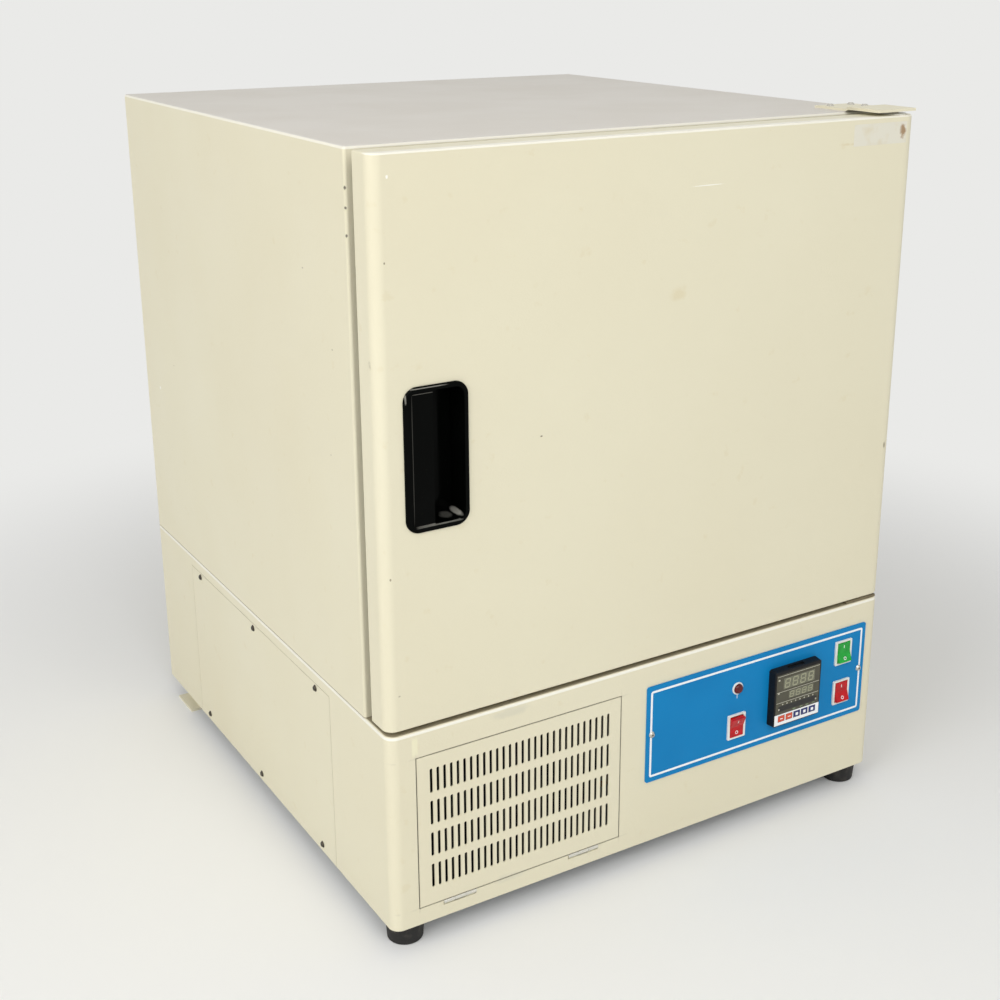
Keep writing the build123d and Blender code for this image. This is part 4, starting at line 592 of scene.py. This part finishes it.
def disc(form, x, z, radius, front, thickness=skin):
    """Add a thin disc that faces the front."""
    place = Matrix.Translation((x, front + thickness / 2, z)) @ Matrix.Rotation(pi / 2, 4, "X")
    bmesh.ops.create_cone(form, cap_ends=True, segments=disc_sides, radius1=radius, radius2=radius,
                          depth=thickness, matrix=place)


def ring(form, middle, radius, thick, turn):
    """Add a flat ring by spinning a small square profile about its own axis."""
    part = bmesh.new()
    corners = [part.verts.new((radius + a * thick / 2, 0, b * skin / 2)) for a, b in
               ((-1, -1), (1, -1), (1, 1), (-1, 1))]
    profile = part.faces.new(corners)
    edges = list(profile.edges)
    bmesh.ops.delete(part, geom=[profile], context="FACES_ONLY")
    bmesh.ops.spin(part, geom=edges, cent=(0, 0, 0), axis=(0, 0, 1), angle=2 * pi, steps=ring_steps,
                   use_merge=True)
    bmesh.ops.transform(part, matrix=Matrix.Translation(middle) @ turn, verts=part.verts)
    merge_into(form, part)


recess_reach, recess_width, recess_turn = 3.2 * mm, 0.75 * mm, 0.4


def cross_recess(form, middle, facing, reach=recess_reach):
    """Add a screw's cross recess as painted shade, two thin bars on the head's flat."""
    turn = Vector((0, 0, 1)).rotation_difference(Vector(facing)).to_matrix().to_4x4()
    for quarter in (0, 1):
        spin = Matrix.Rotation(quarter * pi / 2 + recess_turn, 4, "Z")
        bar(form, middle, (reach, recess_width, skin), turn @ spin)


# Control panel: the white border line and the tick under the lamp

panel_low, panel_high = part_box("control_panel")
panel_front = panel_low[1] - lift
panel_x = (panel_low[0] + panel_high[0]) / 2
panel_z = (panel_low[2] + panel_high[2]) / 2
panel_width = panel_high[0] - panel_low[0]
panel_height = panel_high[2] - panel_low[2]

border_side_inset, border_end_inset = 5.0 * mm, 5.8 * mm
border_line, border_corner = 2.6 * mm, 3.0 * mm
tick_width, tick_height, tick_drop = 0.8 * mm, 5 * mm, 3 * mm

form = bmesh.new()
frame_line(form, panel_x, panel_z, panel_width - 2 * border_side_inset,
           panel_height - 2 * border_end_inset, border_corner, border_line, panel_front)
lamp_low, lamp_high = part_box("pilot_lamp_bezel")
lamp_x = (lamp_low[0] + lamp_high[0]) / 2
front_plate(form, lamp_x, lamp_low[2] - tick_drop, tick_width, tick_height, panel_front)
finished("panel_border", form, "cabinet", white_print)

# Controller: display, its marks and the key strip, in millimetres from the object's middle and above the
# floor. The measured value stands over the wanted one, with a row of pips, a dark band and green marks below

window_low, window_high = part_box("controller_window")
window_front = window_low[1] - lift
mark_front = window_front - skin - lift
window_x = (window_low[0] + window_high[0]) / 2
line_levels, line_height, line_inset = (189.5, 169.2, 155.3), 0.6, 0.8
line_width = window_high[0] - window_low[0] - 2 * line_inset * mm
measured_middle, measured_width, measured_level, measured_height = 196.8, 47.6, 178.9, 13.8
wanted_middle, wanted_width, wanted_level, wanted_height = 200.6, 37.6, 163.0, 9.0
measured_stroke, wanted_stroke = 1.5, 1.0
pip_first, pip_last, pip_count, pip_level, pip_size = 173.0, 219.5, 8, 152.6, 1.6
unit_x, unit_levels, unit_width, unit_height = 166.0, (185.0, 168.0), 2.6, 2.0
dot_places, dot_radius = ((167.3, 147.0), (224.2, 146.3)), 1.1
band_middle, band_width, band_level, band_height, band_corner = 196.0, 60.0, 147.5, 7.0, 3.4
green_places, green_level, green_width, green_height = (191.0, 202.0, 211.0, 221.0), 142.5, 4.2, 1.3
digit_share, digit_rise = 0.7, 0.86
strip_left, strip_right, strip_low, strip_high = 161.5, 229.5, 126.5, 140.3
digit_lean = radians(5)
upright_gap, crossbar_gap = 1.1, 1.2


def digit(form, x, z, width, height, stroke, front):
    """Add the seven bars of one numeral. The gaps between them are given in strokes."""
    down = height / 2 - stroke * upright_gap
    slant = Matrix.Rotation(digit_lean, 4, "Y")
    for level in (-1, 0, 1):
        shift = level * height / 2 * sin(digit_lean)
        bar(form, (x + shift, front + skin / 2, z + level * (height - stroke) / 2),
            (width - stroke * crossbar_gap, skin, stroke))
    for side in (-1, 1):
        for level in (-1, 1):
            shift = level * height / 4 * sin(digit_lean)
            bar(form, (x + side * (width - stroke) / 2 + shift, front + skin / 2,
                       z + level * (height - stroke) / 4), (stroke, skin, down), slant)


form = bmesh.new()
for middle, width, level, height in ((measured_middle, measured_width, measured_level, measured_height),
                                     (wanted_middle, wanted_width, wanted_level, wanted_height)):
    front_plate(form, middle * mm, level * mm, width * mm, height * mm, window_front)
finished("display_glass", form, "cabinet", display_pale)

form = bmesh.new()
for middle, width, level, height, stroke in (
        (measured_middle, measured_width, measured_level, measured_height, measured_stroke),
        (wanted_middle, wanted_width, wanted_level, wanted_height, wanted_stroke)):
    for step in range(4):
        digit(form, (middle + (step - 1.5) * width / 4) * mm, level * mm, width / 4 * digit_share * mm,
              height * digit_rise * mm, stroke * mm, mark_front)
finished("display_digits", form, "cabinet", display_ghost)

form = bmesh.new()
for level in line_levels:
    front_plate(form, window_x, level * mm, line_width, line_height * mm, window_front)
for step in range(pip_count):
    x = pip_first + (pip_last - pip_first) * step / (pip_count - 1)
    front_plate(form, x * mm, pip_level * mm, pip_size * mm, pip_size * mm, window_front)
for level in unit_levels:
    front_plate(form, unit_x * mm, level * mm, unit_width * mm, unit_height * mm, window_front)
for x, level in dot_places:
    disc(form, x * mm, level * mm, dot_radius * mm, window_front - 2 * skin)
finished("display_lines", form, "cabinet", display_line)

form = bmesh.new()
rounded(form, front_plate(form, band_middle * mm, band_level * mm, band_width * mm, band_height * mm,
                          window_front), band_corner * mm)
finished("display_bar", form, "cabinet", display_dark)

form = bmesh.new()
for x in green_places:
    front_plate(form, x * mm, green_level * mm, green_width * mm, green_height * mm, window_front)
finished("display_green_marks", form, "cabinet", display_green)

# The strip round the keys, in pieces that leave each key its opening

key_boxes = [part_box(f"controller_key_{number}") for number in range(1, 6)]
strip_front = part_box("controller_case")[0][1] - lift
key_gap = 0.4 * mm
key_low = key_boxes[0][0][2] - key_gap
key_high = key_boxes[0][1][2] + key_gap
strip_x, strip_width = (strip_left + strip_right) / 2 * mm, (strip_right - strip_left) * mm
form = bmesh.new()
for low, high in ((strip_low * mm, key_low), (key_high, strip_high * mm)):
    front_plate(form, strip_x, (low + high) / 2, strip_width, high - low, strip_front)
stops = [strip_left * mm]
for low, high in key_boxes:
    stops += [low[0] - key_gap, high[0] + key_gap]
stops.append(strip_right * mm)
for left, right in zip(stops[0::2], stops[1::2]):
    front_plate(form, (left + right) / 2, (key_low + key_high) / 2, right - left, key_high - key_low,
                strip_front)
finished("key_strip", form, "cabinet", white_print)

# The first two keys have a bar, the others a square

square_mark, bar_mark, key_mark_corner = (3.8 * mm, 3.6 * mm), (4.2 * mm, 1.1 * mm), 0.3 * mm
bar_keys = 2
for number, (low, high) in enumerate(key_boxes, start=1):
    form = bmesh.new()
    x, z = (low[0] + high[0]) / 2, (low[2] + high[2]) / 2
    wide, tall = square_mark if number > bar_keys else bar_mark
    rounded(form, front_plate(form, x, z, wide, tall, low[1] - lift), key_mark_corner)
    finished(f"key_mark_{number}", form, f"key_{number}", white_print)

# Rockers: the I and O marks, laid on the two halves of each rocker's face

mark_reach = 7.2 * mm
stroke_width, stroke_height = 0.8 * mm, 3.6 * mm
ring_radius, ring_line = 1.7 * mm, 0.7 * mm


def front_surface(node, x, z):
    """The place on a node that a line from the front meets, and the way that its surface faces."""
    mesh = nodes[node].data
    tree = BVHTree.FromPolygons([corner.co for corner in mesh.vertices],
                                [face.vertices for face in mesh.polygons])
    place, facing = tree.ray_cast(Vector((x, -1, z)), Vector((0, 1, 0)))[:2]
    return place, facing


for node, body in (("refrigeration_rocker", "refrigeration_switch"), ("power_rocker", "power_switch"),
                   ("contact_rocker", "contact_switch")):
    low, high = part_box(node)
    x, z = (low[0] + high[0]) / 2, (low[2] + high[2]) / 2
    form = bmesh.new()
    place, facing = front_surface(node, x, z + mark_reach)
    turn = Vector((0, -1, 0)).rotation_difference(facing).to_matrix().to_4x4()
    bar(form, place + facing * lift, (stroke_width, skin, stroke_height), turn)
    place, facing = front_surface(node, x, z - mark_reach)
    turn = Vector((0, 0, 1)).rotation_difference(facing).to_matrix().to_4x4()
    ring(form, place + facing * lift, ring_radius, ring_line, turn)
    finished(f"{body}_marks", form, body, white_print)

# Screws' cross recesses, drawn as painted shade. Depths are measured from the door's front, which is this far
# before the middle, and levels from the floor, both in millimetres

front_to_middle = 339.05
access_depths = (176.0, 354.2, 532.4)
access_levels = (34.0, 228.4)
head_flat = 1.9 * mm
half_width = 330 * mm
back_depth, back_screw_side = 688, 321
back_levels = (258, 534.5, 811, 55, 219)
panel_screw_radius, panel_recess_reach = 3.9 * mm, 2.8 * mm
form = bmesh.new()
for depth in access_depths:
    for level in access_levels:
        for side in (-1, 1):
            place = (side * (half_width + head_flat + lift), (depth - front_to_middle) * mm, level * mm)
            cross_recess(form, place, (side, 0, 0))
back = (back_depth - front_to_middle) * mm + head_flat + lift
for side in (-1, 1):
    for level in back_levels:
        cross_recess(form, (side * back_screw_side * mm, back, level * mm), (0, 1, 0))
screw_low, screw_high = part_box("control_panel_screws")
for x in (screw_low[0] + panel_screw_radius, screw_high[0] - panel_screw_radius):
    cross_recess(form, (x, screw_low[1] - lift, panel_z), (0, -1, 0), panel_recess_reach)
finished("screw_recess_shade", form, "cabinet", recess_painted_shade)

# A bare label on the door

form = bmesh.new()
label_x, label_z = 278.5 * mm, 800.5 * mm
label_width, label_height, label_thickness, label_corner = 77 * mm, 23 * mm, 0.2 * mm, 1.0 * mm
door_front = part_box("door_shell")[0][1]
rounded(form, front_plate(form, label_x, label_z, label_width, label_height, door_front - lift,
                          label_thickness), label_corner)
finished("bare_label", form, "door", label_paper)

# Floor, lights and camera

backdrop_colour = screen_colour(234, 234, 232)
floor_fade_start, floor_fade_end = 0.6, 1.5
floor_reach = 12.0
studio_strength = 0.49
lamp_aim = (0, 0, 0.4)


def any_of(tree, sockets):
    """One value that is 1 where any of these is 1."""
    value = sockets[0]
    for socket in sockets[1:]:
        either = tree.nodes.new("ShaderNodeMath")
        either.operation = "MAXIMUM"
        tree.links.new(value, either.inputs[0])
        tree.links.new(socket, either.inputs[1])
        value = either.outputs[0]
    return value


def seen_ray(tree):
    """1 for the rays that show the backdrop: straight to the camera, in a gloss or through glass."""
    ray = tree.nodes.new("ShaderNodeLightPath")
    return any_of(tree, [ray.outputs[f"Is {kind} Ray"] for kind in ("Camera", "Glossy", "Transmission")])


# The floor keeps shadows near the object, and further out takes the backdrop's colour, so no horizon shows

floor_look = Finish("floor", screen_colour(240, 240, 238), 0.9, specular=0.1)
tree = floor_look.tree
floor_place = tree.nodes.new("ShaderNodeTexCoord")
floor_distance = tree.nodes.new("ShaderNodeVectorMath")
floor_distance.operation = "LENGTH"
floor_fade = tree.nodes.new("ShaderNodeMapRange")
floor_fade.interpolation_type = "SMOOTHSTEP"
floor_fade.inputs["From Min"].default_value = floor_fade_start
floor_fade.inputs["From Max"].default_value = floor_fade_end
floor_share = tree.nodes.new("ShaderNodeMath")
floor_share.operation = "MULTIPLY"
floor_far = tree.nodes.new("ShaderNodeEmission")
floor_far.inputs["Color"].default_value = backdrop_colour
floor_mix = tree.nodes.new("ShaderNodeMixShader")
tree.links.new(floor_place.outputs["Object"], floor_distance.inputs[0])
tree.links.new(floor_distance.outputs["Value"], floor_fade.inputs["Value"])
tree.links.new(floor_fade.outputs["Result"], floor_share.inputs[0])
tree.links.new(seen_ray(tree), floor_share.inputs[1])
tree.links.new(floor_share.outputs[0], floor_mix.inputs[0])
tree.links.new(floor_look.shader.outputs[0], floor_mix.inputs[1])
tree.links.new(floor_far.outputs[0], floor_mix.inputs[2])
tree.links.new(floor_mix.outputs[0], tree.nodes["Material Output"].inputs["Surface"])
floor_mesh = bpy.data.meshes.new("floor")
form = bmesh.new()
bmesh.ops.create_grid(form, x_segments=1, y_segments=1, size=floor_reach)
form.to_mesh(floor_mesh)
form.free()
floor_mesh.materials.append(floor_look.made)
floor = bpy.data.objects.new("floor", floor_mesh)
bpy.context.scene.collection.objects.link(floor)

world = bpy.data.worlds.new("studio")
bpy.context.scene.world = world
world.use_nodes = True
studio = world.node_tree
light = studio.nodes["Background"]
light.inputs["Color"].default_value = (1, 1, 1, 1)
light.inputs["Strength"].default_value = studio_strength
backdrop = studio.nodes.new("ShaderNodeBackground")
backdrop.inputs["Color"].default_value = backdrop_colour
choice = studio.nodes.new("ShaderNodeMixShader")
studio.links.new(seen_ray(studio), choice.inputs[0])
studio.links.new(light.outputs[0], choice.inputs[1])
studio.links.new(backdrop.outputs[0], choice.inputs[2])
studio.links.new(choice.outputs[0], studio.nodes["World Output"].inputs["Surface"])


def soft_lamp(name, place, size, power):
    """A square area lamp at a place, aimed at the object's middle."""
    data = bpy.data.lights.new(name, "AREA")
    data.size = size
    data.energy = power
    lamp = bpy.data.objects.new(name, data)
    lamp.location = place
    lamp.rotation_euler = (Vector(lamp_aim) - Vector(place)).to_track_quat("-Z", "Y").to_euler()
    bpy.context.scene.collection.objects.link(lamp)


soft_lamp("front_lamp", (-0.7, -2.7, 2.3), 1.9, 38)
soft_lamp("left_lamp", (-2.8, -1.0, 2.1), 1.9, 40)
soft_lamp("top_lamp", (0.4, 0.2, 3.6), 2.6, 6)

camera_data = bpy.data.cameras.new("camera")
camera_data.sensor_width = camera_film
camera_data.lens = camera_lens
camera_data.shift_x, camera_data.shift_y = camera_shift
camera = bpy.data.objects.new("camera", camera_data)
camera.location = camera_place
camera.rotation_euler = (radians(90 - camera_pitch), 0, radians(-camera_yaw))
bpy.context.scene.collection.objects.link(camera)
bpy.context.scene.camera = camera
bpy.context.scene.view_settings.view_transform = "Standard"
